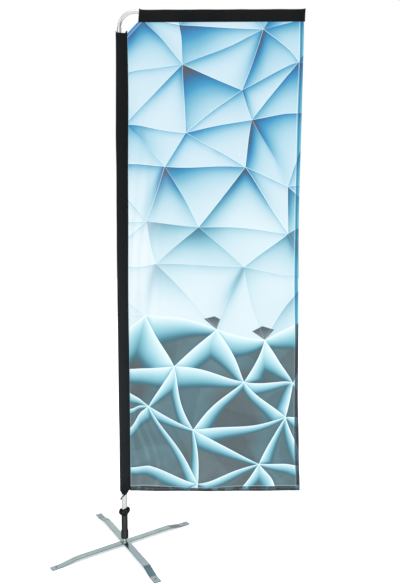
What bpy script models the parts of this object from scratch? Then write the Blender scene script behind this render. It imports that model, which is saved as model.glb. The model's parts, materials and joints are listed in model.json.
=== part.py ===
"""Rectangular sleeve flag on a plug-together pole, with a ball-bearing rotator and a folding cross base.

Metres, +Z up. The origin is on the ground, on the pole's axis. The arm and the flag reach along +X, and the flag's face looks along -Y.
"""

import math

import bmesh
import bpy
from mathutils import Matrix, Vector

GAP = 0.0003  # between pieces that rest on each other

# Cross base: two joggled flat bars, one over the other
BAR_W = 0.040
BAR_T = 0.005
BAR_TIP = 0.448  # from the pivot to a bar's tip
BAR_FOOT = 0.3886  # where the slope meets the flat foot
BAR_RISE = 0.3022  # where the slope meets the raised middle
UPPER_Z = 0.0200  # underside of the upper bar's middle
LOWER_Z = UPPER_Z - GAP - BAR_T
UPPER_ANGLE = -60.25
LOWER_ANGLE = 37.0
PEG_R = 0.419  # ground peg holes
PEG_HOLE = 0.0042
PIVOT_HOLE = 0.0062

# Spindle and what holds it in the bars
SHAFT_R = 0.00585
SHOULDER_R = 0.01185
SHOULDER_TOP = 0.0463
SPINDLE_TOP = 0.1630
NUT_AF = 0.019
NUT_Z = (0.0012, 0.0112)
WASHER_Z = (0.0115, 0.0141)

# Rotator
HOUSING_R = 0.0180
HOUSING_BORE = 0.0143
HOUSING_Z = (0.0466, 0.1895)
CAP_R = 0.0215
CAP_Z = (0.0410, 0.0870)
BEARING_W = 0.008
BEARING_IN = 0.0060
BEARING_OUT = 0.0140
BEARING_PITCH = 0.0100
BALL_R = 0.0022
LOWER_BEARING_Z = 0.0466
UPPER_BEARING_Z = 0.1500
SPIGOT_R = 0.0146
SPIGOT_TOP = 0.285
COLLAR_R = 0.0322
COLLAR_TILT = 0.17
CORD_R = 0.0021
KNOT_R = 0.0038
CORD_HOLE = (0.0110, 0.0240)  # through the collar's rim, behind the pole

# Pole
LOWER_TUBE = (0.0165, 0.0150, 0.1935, 1.120)  # outer and inner radius, bottom and top
MIDDLE_TUBE = (0.0139, 0.0127, 0.980, 2.020)
UPPER_TUBE = (0.01225, 0.01115, 1.890, 2.905)
ARM_R = 0.0097
ARM_BORE = 0.0085
ARM_Z = 2.989
ELBOW_R = 0.085  # centreline radius of the bend
ELBOW_Z0 = 2.790
ELBOW_X1 = 0.300
ARM_X1 = 0.996

# Fabric
CLOTH = 0.0004
SLEEVE_WALL = 0.0005
SLEEVE_Z = (0.304, 2.880)
SLEEVE_LEVELS = (0.36, 0.9, 1.4, 1.8, 2.2, 2.6)
POCKET_X0 = 0.103
POCKET_X1 = 1.0086
POCKET_SEAM_Z = 2.934
FLAG_BOTTOM = 0.322
HEM_SIDE = 0.022
HEM_BOTTOM = 0.020
CUT_LOW = (0.0448, 2.874)  # the diagonal cut at the inner top corner
CUT_HIGH = (0.103, 2.9337)


def clear_scene():
    for obj in list(bpy.data.objects):
        bpy.data.objects.remove(obj, do_unlink=True)


def material(name, colour, roughness, metallic=0.0):
    mat = bpy.data.materials.new(name)
    mat.use_nodes = True
    shader = mat.node_tree.nodes["Principled BSDF"]
    shader.inputs["Base Color"].default_value = (*colour, 1.0)
    shader.inputs["Roughness"].default_value = roughness
    shader.inputs["Metallic"].default_value = metallic
    return mat


def add(name, bm, mat, parent=None, smooth=True):
    bmesh.ops.recalc_face_normals(bm, faces=bm.faces)
    mesh = bpy.data.meshes.new(name)
    bm.to_mesh(mesh)
    bm.free()
    mesh.materials.append(mat)
    if smooth:
        mesh.shade_smooth()
        mesh.set_sharp_from_angle(angle=math.radians(32))
    obj = bpy.data.objects.new(name, mesh)
    bpy.context.scene.collection.objects.link(obj)
    if parent is not None:
        obj.parent = parent
    return obj


def rings(bm, loops, wrap=False):
    """Skins a row of closed loops, each a list of points, and leaves the two ends open unless it wraps."""
    made = [[bm.verts.new(p) for p in loop] for loop in loops]
    rows = len(made)
    for i in range(rows if wrap else rows - 1):
        a, b = made[i], made[(i + 1) % rows]
        n = len(a)
        for j in range(n):
            bm.faces.new((a[j], a[(j + 1) % n], b[(j + 1) % n], b[j]))
    return made


def turned(profile, steps=40, axis_ends=False, top=None):
    """A solid of revolution about Z. The profile is a closed (r, z) outline, or one that starts and ends on the axis."""
    bm = bmesh.new()
    loops = []
    body = profile[1:-1] if axis_ends else profile
    for k in range(steps):
        a = 2 * math.pi * k / steps
        loops.append(
            [
                (r * math.cos(a), r * math.sin(a), z if top is None else top(i, z, a))
                for i, (r, z) in enumerate(body)
            ]
        )
    if not axis_ends:
        rings(bm, loops, wrap=True)
        return bm
    made = [[bm.verts.new(p) for p in loop] for loop in loops]
    first = bm.verts.new((0, 0, profile[0][1]))
    last = bm.verts.new((0, 0, profile[-1][1]))
    for k in range(steps):
        a, b = made[k], made[(k + 1) % steps]
        for j in range(len(body) - 1):
            bm.faces.new((a[j], b[j], b[j + 1], a[j + 1]))
        bm.faces.new((first, b[0], a[0]))
        bm.faces.new((a[-1], b[-1], last))
    return bm


def tube(outer, inner, z0, z1, steps=40, bevel=0.0004):
    return turned(
        [
            (outer, z0 + bevel),
            (outer, z1 - bevel),
            (outer - bevel, z1),
            (inner, z1),
            (inner, z0),
            (outer - bevel, z0),
        ],
        steps,
    )


def cutter(name, bm):
    mat = bpy.data.materials.get("cutter") or material("cutter", (1, 0, 0), 0.5)
    obj = add(name, bm, mat, smooth=False)
    obj.hide_render = True
    obj.display_type = "WIRE"
    return obj


def boolean(obj, other, operation):
    mod = obj.modifiers.new(other.name, "BOOLEAN")
    mod.operation = operation
    mod.solver = "EXACT"
    mod.object = other
    return mod


def rod(radius, z0, z1, steps=24):
    return turned(
        [(0, z0), (radius, z0), (radius, z1), (0, z1)], steps, axis_ends=True
    )


def bar_line(base_z):
    """Half of a bar's underside as (distance from the pivot, height), with both bends rounded."""
    bend = 0.006
    points = [(0.05, base_z), (BAR_RISE, base_z), (BAR_FOOT, 0.0), (BAR_TIP, 0.0)]
    line = [points[0]]
    for i in (1, 2):
        p, q, r = (Vector(points[k]) for k in (i - 1, i, i + 1))
        start = q + (p - q).normalized() * bend
        end = q + (r - q).normalized() * bend
        for k in range(5):
            t = k / 4
            line.append(tuple((1 - t) ** 2 * start + 2 * t * (1 - t) * q + t**2 * end))
    line += [(BAR_TIP - 0.006, 0.0), (BAR_TIP, 0.0)]
    return line


def bar(name, base_z, mat, parent):
    """A joggled flat bar along X, with clipped corners at its tips."""
    line = bar_line(base_z)
    line = [(-s, z) for s, z in reversed(line)] + line
    count = len(line)
    bm = bmesh.new()
    loops = []
    for i, (s, z) in enumerate(line):
        before, after = Vector(line[max(i - 1, 0)]), Vector(line[min(i + 1, count - 1)])
        along = (after - before).normalized()
        up = Vector((-along.y, along.x))
        shift = up * (BAR_T / max(up.y, 0.5)) if i in (0, count - 1) else up * BAR_T
        half = BAR_W / 2 - (0.0045 if i in (0, count - 1) else 0.0)
        top = Vector((s, z)) + shift
        loops.append(
            [(s, -half, z), (s, half, z), (top.x, half, top.y), (top.x, -half, top.y)]
        )
    made = rings(bm, loops)
    bm.faces.new(made[0])
    bm.faces.new(list(reversed(made[-1])))
    obj = add(name, bm, mat, parent)
    for k, x in enumerate((-PEG_R, 0.0, PEG_R)):
        radius = PIVOT_HOLE if x == 0.0 else PEG_HOLE
        hole = rod(radius, -0.01, 0.04, 24)
        bmesh.ops.translate(hole, verts=hole.verts, vec=(x, 0, 0))
        drill = cutter(f"{name}_drill_{k}", hole)
        drill.parent = parent
        boolean(obj, drill, "DIFFERENCE")
    return obj


def hexagon(flats, hole, z0, z1, steps=24):
    """A hexagonal nut with a round hole."""
    bm = bmesh.new()
    loops = []
    for z, inner, shrink in (
        (z0, False, 0.94),
        (z0 + 0.0009, False, 1.0),
        (z1 - 0.0009, False, 1.0),
        (z1, False, 0.94),
        (z1, True, 1.0),
        (z0, True, 1.0),
    ):
        loop = []
        for k in range(steps):
            a = 2 * math.pi * k / steps
            near = (a + math.pi / 6) % (math.pi / 3) - math.pi / 6
            r = hole if inner else flats / 2 / math.cos(near) * shrink
            loop.append((r * math.cos(a), r * math.sin(a), z))
        loops.append(loop)
    rings(bm, loops, wrap=True)
    return bm


def groove(face, sign):
    """The ball groove of a bearing ring, as (r, z) about the ball's centre plane. face is the land's radius."""
    radius = BALL_R + 2 * GAP
    reach = math.sqrt(max(radius**2 - (BEARING_PITCH - face) ** 2, 0))
    angle = math.atan2(reach, abs(BEARING_PITCH - face))
    return [
        (
            BEARING_PITCH + sign * radius * math.cos(a),
            radius * math.sin(a),
        )
        for a in (-angle, 0, angle)
    ]


def bearing(name, z0, mats, inner_parent, outer_parent):
    middle = z0 + BEARING_W / 2
    land_in, land_out = 0.0086, 0.0114
    inner = [(BEARING_IN, z0), (land_in, z0)]
    inner += [(r, middle + z) for r, z in groove(land_in, -1)]
    inner += [(land_in, z0 + BEARING_W), (BEARING_IN, z0 + BEARING_W)]
    add(f"{name}_inner_ring", turned(inner, 28), mats, inner_parent)
    outer = [(BEARING_OUT, z0), (BEARING_OUT, z0 + BEARING_W), (land_out, z0 + BEARING_W)]
    outer += [(r, middle + z) for r, z in reversed(groove(land_out, 1))]
    outer += [(land_out, z0)]
    add(f"{name}_outer_ring", turned(outer, 28), mats, outer_parent)
    bm = bmesh.new()
    for k in range(8):
        a = 2 * math.pi * (k + 0.5) / 8
        place = Matrix.Translation(
            (BEARING_PITCH * math.cos(a), BEARING_PITCH * math.sin(a), middle)
        )
        bmesh.ops.create_icosphere(bm, subdivisions=2, radius=BALL_R, matrix=place)
    balls = cutter(f"{name}_ball_set", bm)
    cage = [
        (BEARING_PITCH - 0.0007, middle - 0.0015),
        (BEARING_PITCH + 0.0007, middle - 0.0015),
        (BEARING_PITCH + 0.0007, middle + 0.0015),
        (BEARING_PITCH - 0.0007, middle + 0.0015),
    ]
    cage = add(f"{name}_balls_in_cage", turned(cage, 16), mats, outer_parent)
    boolean(cage, balls, "UNION")


def circlip(z0, z1, mat, parent):
    """An open retaining ring, thicker at the back, seated in the spindle's groove."""
    bm = bmesh.new()
    start, end = math.radians(24), math.radians(336)
    loops = []
    steps = 26
    for k in range(steps + 1):
        a = start + (end - start) * k / steps
        outer = 0.0070 + 0.0009 * (1 - math.cos(a)) / 2
        outer += 0.0010 if k in (0, steps) else 0
        ca, sa = math.cos(a), math.sin(a)
        loops.append(
            [
                (0.0056 * ca, 0.0056 * sa, z0),
                (outer * ca, outer * sa, z0),
                (outer * ca, outer * sa, z1),
                (0.0056 * ca, 0.0056 * sa, z1),
            ]
        )
    made = rings(bm, loops)
    bm.faces.new(made[0])
    bm.faces.new(list(reversed(made[-1])))
    add("retaining_ring", bm, mat, parent)


def collar(mat, parent):
    """A rounded, tilted collar that grips the rotator's top, with a groove round the pole and a hole through its rim for the cord."""

    def top(i, z, a):
        tilt = COLLAR_TILT * profile[i][0] * math.cos(a)
        return z + tilt * min(max((profile[i][0] - 0.0190) / 0.0040, 0.0), 1.0)

    profile = [
        (0.0183, 0.1800),
        (0.0200, 0.1800),
        (0.0216, 0.1838),
        (0.0262, 0.1885),
        (0.0305, 0.1935),
        (COLLAR_R, 0.1995),
        (COLLAR_R, 0.2065),
        (0.0306, 0.2120),
        (0.0270, 0.2150),
        (0.0238, 0.2145),
        (0.0222, 0.2100),
        (0.0200, 0.2088),
        (0.0192, 0.2120),
        (0.0169, 0.2132),
        (0.0169, 0.1938),
        (0.0183, 0.1938),
    ]
    obj = add("hook_collar", turned(profile, 36, top=top), mat, parent)
    hole = rod(CORD_R + 0.0005, 0.170, 0.240, 16)
    bmesh.ops.translate(hole, verts=hole.verts, vec=(*CORD_HOLE, 0))
    boolean(obj, cutter("cord_hole", hole), "DIFFERENCE")
    return obj


def swept(line, outer, inner, steps=28):
    """A tube along points in the XZ plane, open at both ends."""
    bm = bmesh.new()
    points = [Vector(p) for p in line]
    frames = []
    for i, p in enumerate(points):
        along = points[min(i + 1, len(points) - 1)] - points[max(i - 1, 0)]
        along.normalize()
        frames.append((p, Vector((0, 1, 0)).cross(along), Vector((0, 1, 0))))
    loops = []
    for radius, row in ((outer, frames), (inner, frames[::-1])):
        for p, u, v in row:
            loops.append(
                [
                    p
                    + radius
                    * (
                        math.cos(2 * math.pi * k / steps) * u
                        + math.sin(2 * math.pi * k / steps) * v
                    )
                    for k in range(steps)
                ]
            )
    rings(bm, loops, wrap=True)
    return bm


def elbow_line():
    line = [(0, 0, ELBOW_Z0), (0, 0, ARM_Z - ELBOW_R)]
    for k in range(1, 11):
        a = math.pi / 2 * k / 10
        line.append(
            (
                ELBOW_R - ELBOW_R * math.cos(a),
                0,
                ARM_Z - ELBOW_R + ELBOW_R * math.sin(a),
            )
        )
    line.append((ELBOW_X1, 0, ARM_Z))
    return line


def along_x(bm):
    """Turns a piece made about Z so that it lies along X at the arm's height."""
    bmesh.ops.rotate(bm, verts=bm.verts, matrix=Matrix.Rotation(math.pi / 2, 3, "Y"))
    bmesh.ops.translate(bm, verts=bm.verts, vec=(0, 0, ARM_Z))
    return bm


def smooth_through(points, t):
    """The value at t on an eased line through (t, value) points."""
    for (t0, a), (t1, b) in zip(points, points[1:]):
        if t <= t1:
            k = min(max((t - t0) / (t1 - t0), 0), 1)
            k = k * k * (3 - 2 * k)
            return a + (b - a) * k
    return points[-1][1]


def sleeve_right(z):
    return smooth_through([(0.3, 0.0375), (0.9, 0.0378), (1.4, 0.0350), (2.0, 0.0400), (2.6, 0.0468), (2.88, 0.0445)], z)


def sleeve_left(z):
    return smooth_through([(0.3, 0.0245), (1.3, 0.0268), (2.3, 0.0250), (2.88, 0.0185)], z)


def sleeve_depth(z):
    return smooth_through([(0.3, 0.0192), (1.2, 0.0192), (2.0, 0.0170), (2.88, 0.0150)], z)


def sleeve_loop(z, inset, bottom=False):
    """The sleeve's teardrop section: round over the pole, tapering to the seam."""
    left, right, depth = sleeve_left(z), sleeve_right(z), sleeve_depth(z)
    left, depth, right = left - inset, depth - inset, right - 2 * inset
    points = []
    for k in range(14):
        a = math.pi / 2 + math.pi * k / 13
        points.append((left * math.cos(a), depth * math.sin(a)))
    lower = [
        (right * k / 7, -depth * math.cos(math.pi / 2 * k / 7) ** 0.9) for k in range(1, 7)
    ]
    points += lower
    points.append((right, 0))
    points += [(x, -y) for x, y in reversed(lower)]
    loop = []
    for x, y in points:
        raised = 0.0
        if bottom:
            raised = 0.020 * min(abs(x - 0.002) / 0.022, 1) ** 1.5
        loop.append((x, y, z + raised))
    return loop


def sleeve():
    bm = bmesh.new()
    z0, z1 = SLEEVE_Z
    levels = SLEEVE_LEVELS
    outer = [sleeve_loop(z0, 0, True)] + [sleeve_loop(z, 0) for z in levels]
    outer += [sleeve_loop(z1, 0)]
    inner = [sleeve_loop(z1, SLEEVE_WALL)]
    inner += [sleeve_loop(z, SLEEVE_WALL) for z in reversed(levels)]
    inner += [sleeve_loop(z0, SLEEVE_WALL, True)]
    rings(bm, outer + inner, wrap=True)
    return bm


def pocket_loop(x, inset, slant=0.0):
    """The arm pocket's section: round over the arm, tapering down to its seam."""
    radius = ARM_R + 0.0011 - inset
    low = POCKET_SEAM_Z + 2 * inset
    points = []
    for k in range(13):
        a = math.pi * k / 12
        points.append((radius * math.cos(a), ARM_Z + radius * math.sin(a)))
    height = ARM_Z - low
    side = [
        (-radius * math.cos(math.pi / 2 * k / 5) ** 0.9, ARM_Z - height * k / 5)
        for k in range(1, 5)
    ]
    points += side
    points.append((0, low))
    points += [(-y, z) for y, z in reversed(side)]
    return [
        (x + slant * (z - POCKET_SEAM_Z) / (ARM_Z + 0.0108 - POCKET_SEAM_Z), y, z)
        for y, z in points
    ]


def pocket():
    """A shell that is open at its left end and sewn shut at its right end."""
    bm = bmesh.new()
    levels = [0.30, 0.53, 0.76]
    loops = [pocket_loop(POCKET_X1, 0)] + [pocket_loop(x, 0) for x in reversed(levels)]
    loops += [pocket_loop(POCKET_X0, 0, 0.008), pocket_loop(POCKET_X0, SLEEVE_WALL, 0.008)]
    loops += [pocket_loop(x, SLEEVE_WALL) for x in levels]
    loops += [pocket_loop(POCKET_X1 - SLEEVE_WALL, SLEEVE_WALL)]
    made = rings(bm, loops)
    bm.faces.new(made[0])
    bm.faces.new(list(reversed(made[-1])))
    return bm


def flag_right(z):
    return smooth_through(
        [(0.32, 1.0080), (0.55, 1.0000), (0.90, 0.9925), (1.85, 0.9868), (2.93, 1.0025)], z
    )


def flag_bottom(x):
    return FLAG_BOTTOM - 0.003 * math.sin(math.pi * min(max(x, 0), 1) * 1.25)


def plate(outline, y0, y1):
    """A flat piece of cloth in the XZ plane, from y0 to y1."""
    bm = bmesh.new()
    made = rings(bm, [[(x, y, z) for x, z in outline] for y in (y0, y1)])
    bm.faces.new(made[0])
    bm.faces.new(list(reversed(made[1])))
    return bm


def strip(pairs, y0, y1):
    """A ribbon between two rows of points in the XZ plane, given in pairs."""
    bm = bmesh.new()
    loops = [
        [(a[0], y0, a[1]), (b[0], y0, b[1]), (b[0], y1, b[1]), (a[0], y1, a[1])]
        for a, b in pairs
    ]
    made = rings(bm, loops)
    bm.faces.new(made[0])
    bm.faces.new(list(reversed(made[-1])))
    return bm


def flag_outline():
    outline = []
    for k in range(13):
        x = sleeve_right(FLAG_BOTTOM) + GAP + 0.001 + (1.004 - 0.037) * k / 12
        outline.append((x, flag_bottom(x)))
    outline[-1] = (flag_right(FLAG_BOTTOM), flag_bottom(1.0))
    for k in range(1, 17):
        z = FLAG_BOTTOM + (CUT_HIGH[1] - FLAG_BOTTOM) * k / 16
        outline.append((flag_right(z), z))
    outline.append(CUT_HIGH)
    outline.append(CUT_LOW)
    for z in reversed(SLEEVE_LEVELS):
        outline.append((sleeve_right(z) + GAP + 0.0002, z))
    return outline


def hems(mat, parent):
    y0, y1 = CLOTH / 2 + GAP, CLOTH * 1.5 + GAP
    side = []
    for k in range(17):
        z = FLAG_BOTTOM + HEM_BOTTOM + 0.0035
        z += (2.9325 - z) * k / 16
        x = flag_right(z)
        side.append(((x - HEM_SIDE, z), (x, z)))
    add("side_hem", strip(side, y0, y1), mat, parent)
    low = []
    for k in range(13):
        x = 0.037 + (flag_right(FLAG_BOTTOM) - 0.037) * k / 12
        z = flag_bottom(x)
        low.append(((x, z), (x, z + HEM_BOTTOM)))
    add("bottom_hem", strip(low, y0, y1), mat, parent)
    a, b = Vector(CUT_LOW), Vector(CUT_HIGH)
    along = (b - a).normalized()
    across = Vector((along.y, -along.x)) * 0.014
    inset = along * 0.002
    corner = [
        (a + inset, a + inset + across + along * 0.010),
        (b - inset, b - inset + across - along * 0.016),
    ]
    add("corner_hem", strip(corner, y0, y1), mat, parent)


def cord_points():
    """Once round the pole, from under the sleeve's front edge down through the collar's rim."""
    x, y = CORD_HOLE
    through = [
        (0.0030, -0.0205, 0.3020),
        (-0.0030, -0.0204, 0.2970),
        (-0.0146, -0.0158, 0.2855),
        (-0.0216, 0.0, 0.2725),
        (-0.0160, 0.0150, 0.2620),
        (0.0, 0.0222, 0.2500),
        (0.0070, 0.0228, 0.2400),
        (0.0100, 0.0236, 0.2310),
        (x, y, 0.2240),
        (x, y, 0.2170),
        (x, y, 0.2060),
        (x, y, 0.1960),
        (x, y, 0.1880),
    ]
    points = [Vector(p) for p in through]
    points = [2 * points[0] - points[1]] + points + [2 * points[-1] - points[-2]]
    line = []
    for i in range(1, len(points) - 2):
        p0, p1, p2, p3 = points[i - 1 : i + 3]
        for k in range(3):
            t = k / 3
            line.append(
                0.5
                * (
                    2 * p1
                    + (p2 - p0) * t
                    + (2 * p0 - 5 * p1 + 4 * p2 - p3) * t**2
                    + (3 * p1 - p0 - 3 * p2 + p3) * t**3
                )
            )
    line.append(points[-2])
    return line


def cord(mat, parent):
    data = bpy.data.curves.new("tension_cord", "CURVE")
    data.dimensions = "3D"
    data.bevel_depth = CORD_R
    data.bevel_resolution = 2
    data.use_fill_caps = True
    line = cord_points()
    spline = data.splines.new("POLY")
    spline.points.add(len(line) - 1)
    for point, place in zip(spline.points, line):
        point.co = (*place, 1)
    data.materials.append(mat)
    obj = bpy.data.objects.new("tension_cord", data)
    bpy.context.scene.collection.objects.link(obj)
    obj.parent = parent
    knot = bmesh.new()
    bmesh.ops.create_uvsphere(knot, u_segments=12, v_segments=8, radius=KNOT_R)
    place = (*CORD_HOLE, 0.1880 - GAP - KNOT_R)
    bmesh.ops.translate(knot, verts=knot.verts, vec=place)
    return knot


def empty(name, place=(0, 0, 0), parent=None, turn=0.0):
    obj = bpy.data.objects.new(name, None)
    obj.empty_display_size = 0.05
    obj.location = place
    obj.rotation_euler = (0, 0, math.radians(turn))
    bpy.context.scene.collection.objects.link(obj)
    if parent is not None:
        obj.parent = parent
    return obj


def build():
    clear_scene()
    zinc = material("zinc_plated_steel", (0.52, 0.60, 0.60), 0.32, 1.0)
    bright = material("bright_steel", (0.72, 0.74, 0.74), 0.12, 1.0)
    bearing_steel = material("bearing_steel", (0.60, 0.61, 0.62), 0.15, 1.0)
    black = material("black_plastic", (0.028, 0.030, 0.032), 0.45)
    silver = material("silver_aluminium", (0.82, 0.83, 0.84), 0.28, 1.0)
    grey = material("grey_plastic", (0.30, 0.31, 0.32), 0.5)
    print_cloth = material("printed_polyester", (0.48, 0.72, 0.84), 0.7)
    hem_cloth = material("printed_hem", (0.30, 0.52, 0.62), 0.7)
    dark_cloth = material("black_polyester", (0.016, 0.019, 0.022), 0.75)
    elastic = material("black_elastic", (0.012, 0.012, 0.013), 0.6)

    base = empty("base")
    leg_pivot = empty("leg_fold_axis", parent=base, turn=LOWER_ANGLE)
    leg_fixed = empty("upper_bar_place", parent=base, turn=UPPER_ANGLE)
    turning = empty("flag_swivel_axis", parent=base)
    lifting = empty("pole_lift_axis", parent=turning)

    bar("upper_cross_bar", UPPER_Z, zinc, leg_fixed)
    bar("lower_cross_bar", LOWER_Z, zinc, leg_pivot)

    spindle = [
        (0, 0.0),
        (SHAFT_R - 0.0008, 0.0),
        (SHAFT_R, 0.0008),
        (SHAFT_R, UPPER_Z + BAR_T + GAP),
        (SHOULDER_R - 0.0006, UPPER_Z + BAR_T + GAP),
        (SHOULDER_R, UPPER_Z + BAR_T + GAP + 0.0006),
        (SHOULDER_R, SHOULDER_TOP - 0.0006),
        (SHOULDER_R - 0.0006, SHOULDER_TOP),
        (SHAFT_R, SHOULDER_TOP),
        (SHAFT_R, 0.1580),
        (0.0052, 0.1580),
        (0.0052, 0.1597),
        (SHAFT_R, 0.1597),
        (SHAFT_R, SPINDLE_TOP - 0.0008),
        (SHAFT_R - 0.0008, SPINDLE_TOP),
        (0, SPINDLE_TOP),
    ]
    add("spindle", turned(spindle, 24, axis_ends=True), bright, base)
    add("spindle_nut", hexagon(NUT_AF, 0.0062, *NUT_Z), bright, base)
    add("nut_washer", tube(0.0120, 0.0063, *WASHER_Z, 24, 0.0003), bright, base)

    bearing("lower_bearing", LOWER_BEARING_Z, bearing_steel, base, turning)
    bearing("upper_bearing", UPPER_BEARING_Z, bearing_steel, base, turning)
    spacer_z = (LOWER_BEARING_Z + BEARING_W + GAP, UPPER_BEARING_Z - GAP)
    add("bearing_spacer", tube(0.0083, 0.0062, *spacer_z, 24), silver, base)
    circlip(0.1583, 0.1593, bearing_steel, base)

    cap = [
        (0.01225, CAP_Z[0]),
        (CAP_R - 0.0045, CAP_Z[0]),
        (CAP_R - 0.0013, CAP_Z[0] + 0.0015),
        (CAP_R, CAP_Z[0] + 0.0050),
        (CAP_R, CAP_Z[1] - 0.0030),
        (CAP_R - 0.0010, CAP_Z[1]),
        (HOUSING_R + GAP, CAP_Z[1]),
        (HOUSING_R + GAP, HOUSING_Z[0] - GAP),
        (0.01225, HOUSING_Z[0] - GAP),
    ]
    add("rotator_lower_cap", turned(cap, 36), black, turning)
    add("rotator_housing", tube(HOUSING_R, HOUSING_BORE, *HOUSING_Z, 36), black, turning)
    spigot = [
        (0, 0.1680),
        (0.0140, 0.1680),
        (0.0140, HOUSING_Z[1] + GAP),
        (0.0179, HOUSING_Z[1] + GAP),
        (0.0179, 0.1932),
        (SPIGOT_R, 0.1932),
        (SPIGOT_R, SPIGOT_TOP - 0.008),
        (SPIGOT_R - 0.003, SPIGOT_TOP),
        (0, SPIGOT_TOP),
    ]
    add("pole_spigot", turned(spigot, 32, axis_ends=True), grey, turning)
    collar(black, turning)

    add("pole_lower_section", tube(*LOWER_TUBE, 36), silver, lifting)
    add("pole_middle_section", tube(*MIDDLE_TUBE, 32), silver, lifting)
    add("pole_upper_section", tube(*UPPER_TUBE, 32), silver, lifting)
    for name, big, small in (
        ("lower_joint_collar", LOWER_TUBE, MIDDLE_TUBE),
        ("upper_joint_collar", MIDDLE_TUBE, UPPER_TUBE),
    ):
        top = big[3] + GAP
        shape = [
            (big[0] + GAP, top - 0.025),
            (big[0] + 0.0013, top - 0.025),
            (big[0] + 0.0013, top + 0.0050),
            (big[0] - 0.0002, top + 0.0065),
            (small[0] + GAP, top + 0.0065),
            (small[0] + GAP, top),
            (big[0] + GAP, top),
        ]
        add(name, turned(shape, 28), grey, lifting)
    bush_z = (UPPER_TUBE[3] - 0.065, UPPER_TUBE[3] - 0.0005)
    bush = tube(UPPER_TUBE[1] - GAP, ARM_R + GAP, *bush_z, 28, 0.0002)
    add("elbow_bush", bush, grey, lifting)
    add("elbow_tube", swept(elbow_line(), ARM_R, ARM_BORE), silver, lifting)
    arm = swept([(ELBOW_X1 + GAP, 0, ARM_Z), (ARM_X1, 0, ARM_Z)], ARM_R, ARM_BORE)
    add("arm_tube", arm, silver, lifting)
    joiner = along_x(rod(ARM_BORE - GAP, ELBOW_X1 - 0.060, ELBOW_X1 + 0.060, 32))
    add("arm_joiner", joiner, grey, lifting)
    plug = [
        (0, ARM_X1 - 0.014),
        (ARM_BORE - GAP, ARM_X1 - 0.014),
        (ARM_BORE - GAP, ARM_X1 + GAP),
        (ARM_R, ARM_X1 + GAP),
        (ARM_R, ARM_X1 + 0.0045),
        (ARM_R - 0.0030, ARM_X1 + 0.0075),
        (0, ARM_X1 + 0.0080),
    ]
    add("arm_end_plug", along_x(turned(plug, 28, axis_ends=True)), black, lifting)

    add("pole_sleeve", sleeve(), dark_cloth, lifting)
    add("arm_pocket", pocket(), dark_cloth, lifting)
    add("flag_panel", plate(flag_outline(), -CLOTH / 2, CLOTH / 2), print_cloth, lifting, False)
    hems(hem_cloth, lifting)

    knot = cord(elastic, turning)
    add("cord_knot", knot, elastic, turning)


build()
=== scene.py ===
import json
import math
import random

import bmesh
import bpy
import numpy as np
from mathutils import Matrix, Vector
from mathutils.geometry import delaunay_2d_cdt


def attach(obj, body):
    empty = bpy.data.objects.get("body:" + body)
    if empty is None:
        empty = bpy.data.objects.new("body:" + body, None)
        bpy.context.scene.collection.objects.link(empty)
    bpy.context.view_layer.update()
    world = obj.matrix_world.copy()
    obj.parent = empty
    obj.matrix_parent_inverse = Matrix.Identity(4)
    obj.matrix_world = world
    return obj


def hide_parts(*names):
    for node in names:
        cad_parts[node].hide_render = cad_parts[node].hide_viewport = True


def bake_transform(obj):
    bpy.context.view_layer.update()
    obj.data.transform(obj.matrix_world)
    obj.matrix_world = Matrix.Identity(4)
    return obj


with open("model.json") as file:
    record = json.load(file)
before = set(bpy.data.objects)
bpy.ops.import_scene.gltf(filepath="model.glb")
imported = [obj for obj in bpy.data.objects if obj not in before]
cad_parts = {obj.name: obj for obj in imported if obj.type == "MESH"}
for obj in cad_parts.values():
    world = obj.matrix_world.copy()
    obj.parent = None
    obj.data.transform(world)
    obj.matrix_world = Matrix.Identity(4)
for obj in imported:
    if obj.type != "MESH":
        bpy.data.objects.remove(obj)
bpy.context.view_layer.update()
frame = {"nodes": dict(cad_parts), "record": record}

bpy.context.scene.view_settings.view_transform = "Standard"

# ---------------------------------------------------------------- dimensions
BAR_W, BAR_T = 0.040, 0.005
BAR_TIP, BAR_FOOT, BAR_RISE = 0.448, 0.3886, 0.3022
UPPER_Z, LOWER_Z = 0.0200, 0.0147
UPPER_ANGLE, LOWER_ANGLE = -60.25, 37.0
PEG_R, PEG_HOLE, PIVOT_HOLE = 0.419, 0.0042, 0.0062
ARM_Z, ELBOW_R, ELBOW_Z0 = 2.989, 0.085, 2.790
ARM_R, ARM_BORE = 0.0097, 0.0085
SLEEVE_Z = (0.304, 2.880)
POCKET_X = (0.103, 1.0086)
POCKET_SEAM_Z = 2.934
FLAG_BOTTOM, FLAG_TOP = 0.322, 2.9337
CUT_LOW, CUT_HIGH = (0.0448, 2.874), (0.103, 2.9337)
HEM_SIDE, HEM_BOTTOM = 0.022, 0.020


def eased(points, t):
    """The value at t on an eased line through (t, value) points. t may be an array."""
    t = np.asarray(t, float)
    out = np.full(t.shape, float(points[0][1]))
    for (t0, a), (t1, b) in zip(points, points[1:]):
        k = np.clip((t - t0) / (t1 - t0), 0, 1)
        k = k * k * (3 - 2 * k)
        out = np.where(t >= t0, a + (b - a) * k, out)
    return out


def step(lo, hi, x):
    """0 below lo, 1 above hi, smooth between. It falls instead if hi is the smaller."""
    k = np.clip((np.asarray(x, float) - lo) / (hi - lo), 0, 1)
    return k * k * (3 - 2 * k)


def sleeve_right(z):
    return eased([(0.3, 0.0375), (0.9, 0.0378), (1.4, 0.0350), (2.0, 0.0400), (2.6, 0.0468), (2.88, 0.0445)], z)


def sleeve_left(z):
    return eased([(0.3, 0.0245), (1.3, 0.0268), (2.3, 0.0250), (2.88, 0.0185)], z)


def sleeve_depth(z):
    return eased([(0.3, 0.0192), (1.2, 0.0192), (2.0, 0.0170), (2.88, 0.0150)], z)


def flag_right(z):
    return eased([(0.32, 1.0080), (0.55, 1.0000), (0.90, 0.9925), (1.85, 0.9868), (2.93, 1.0025)], z)


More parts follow.
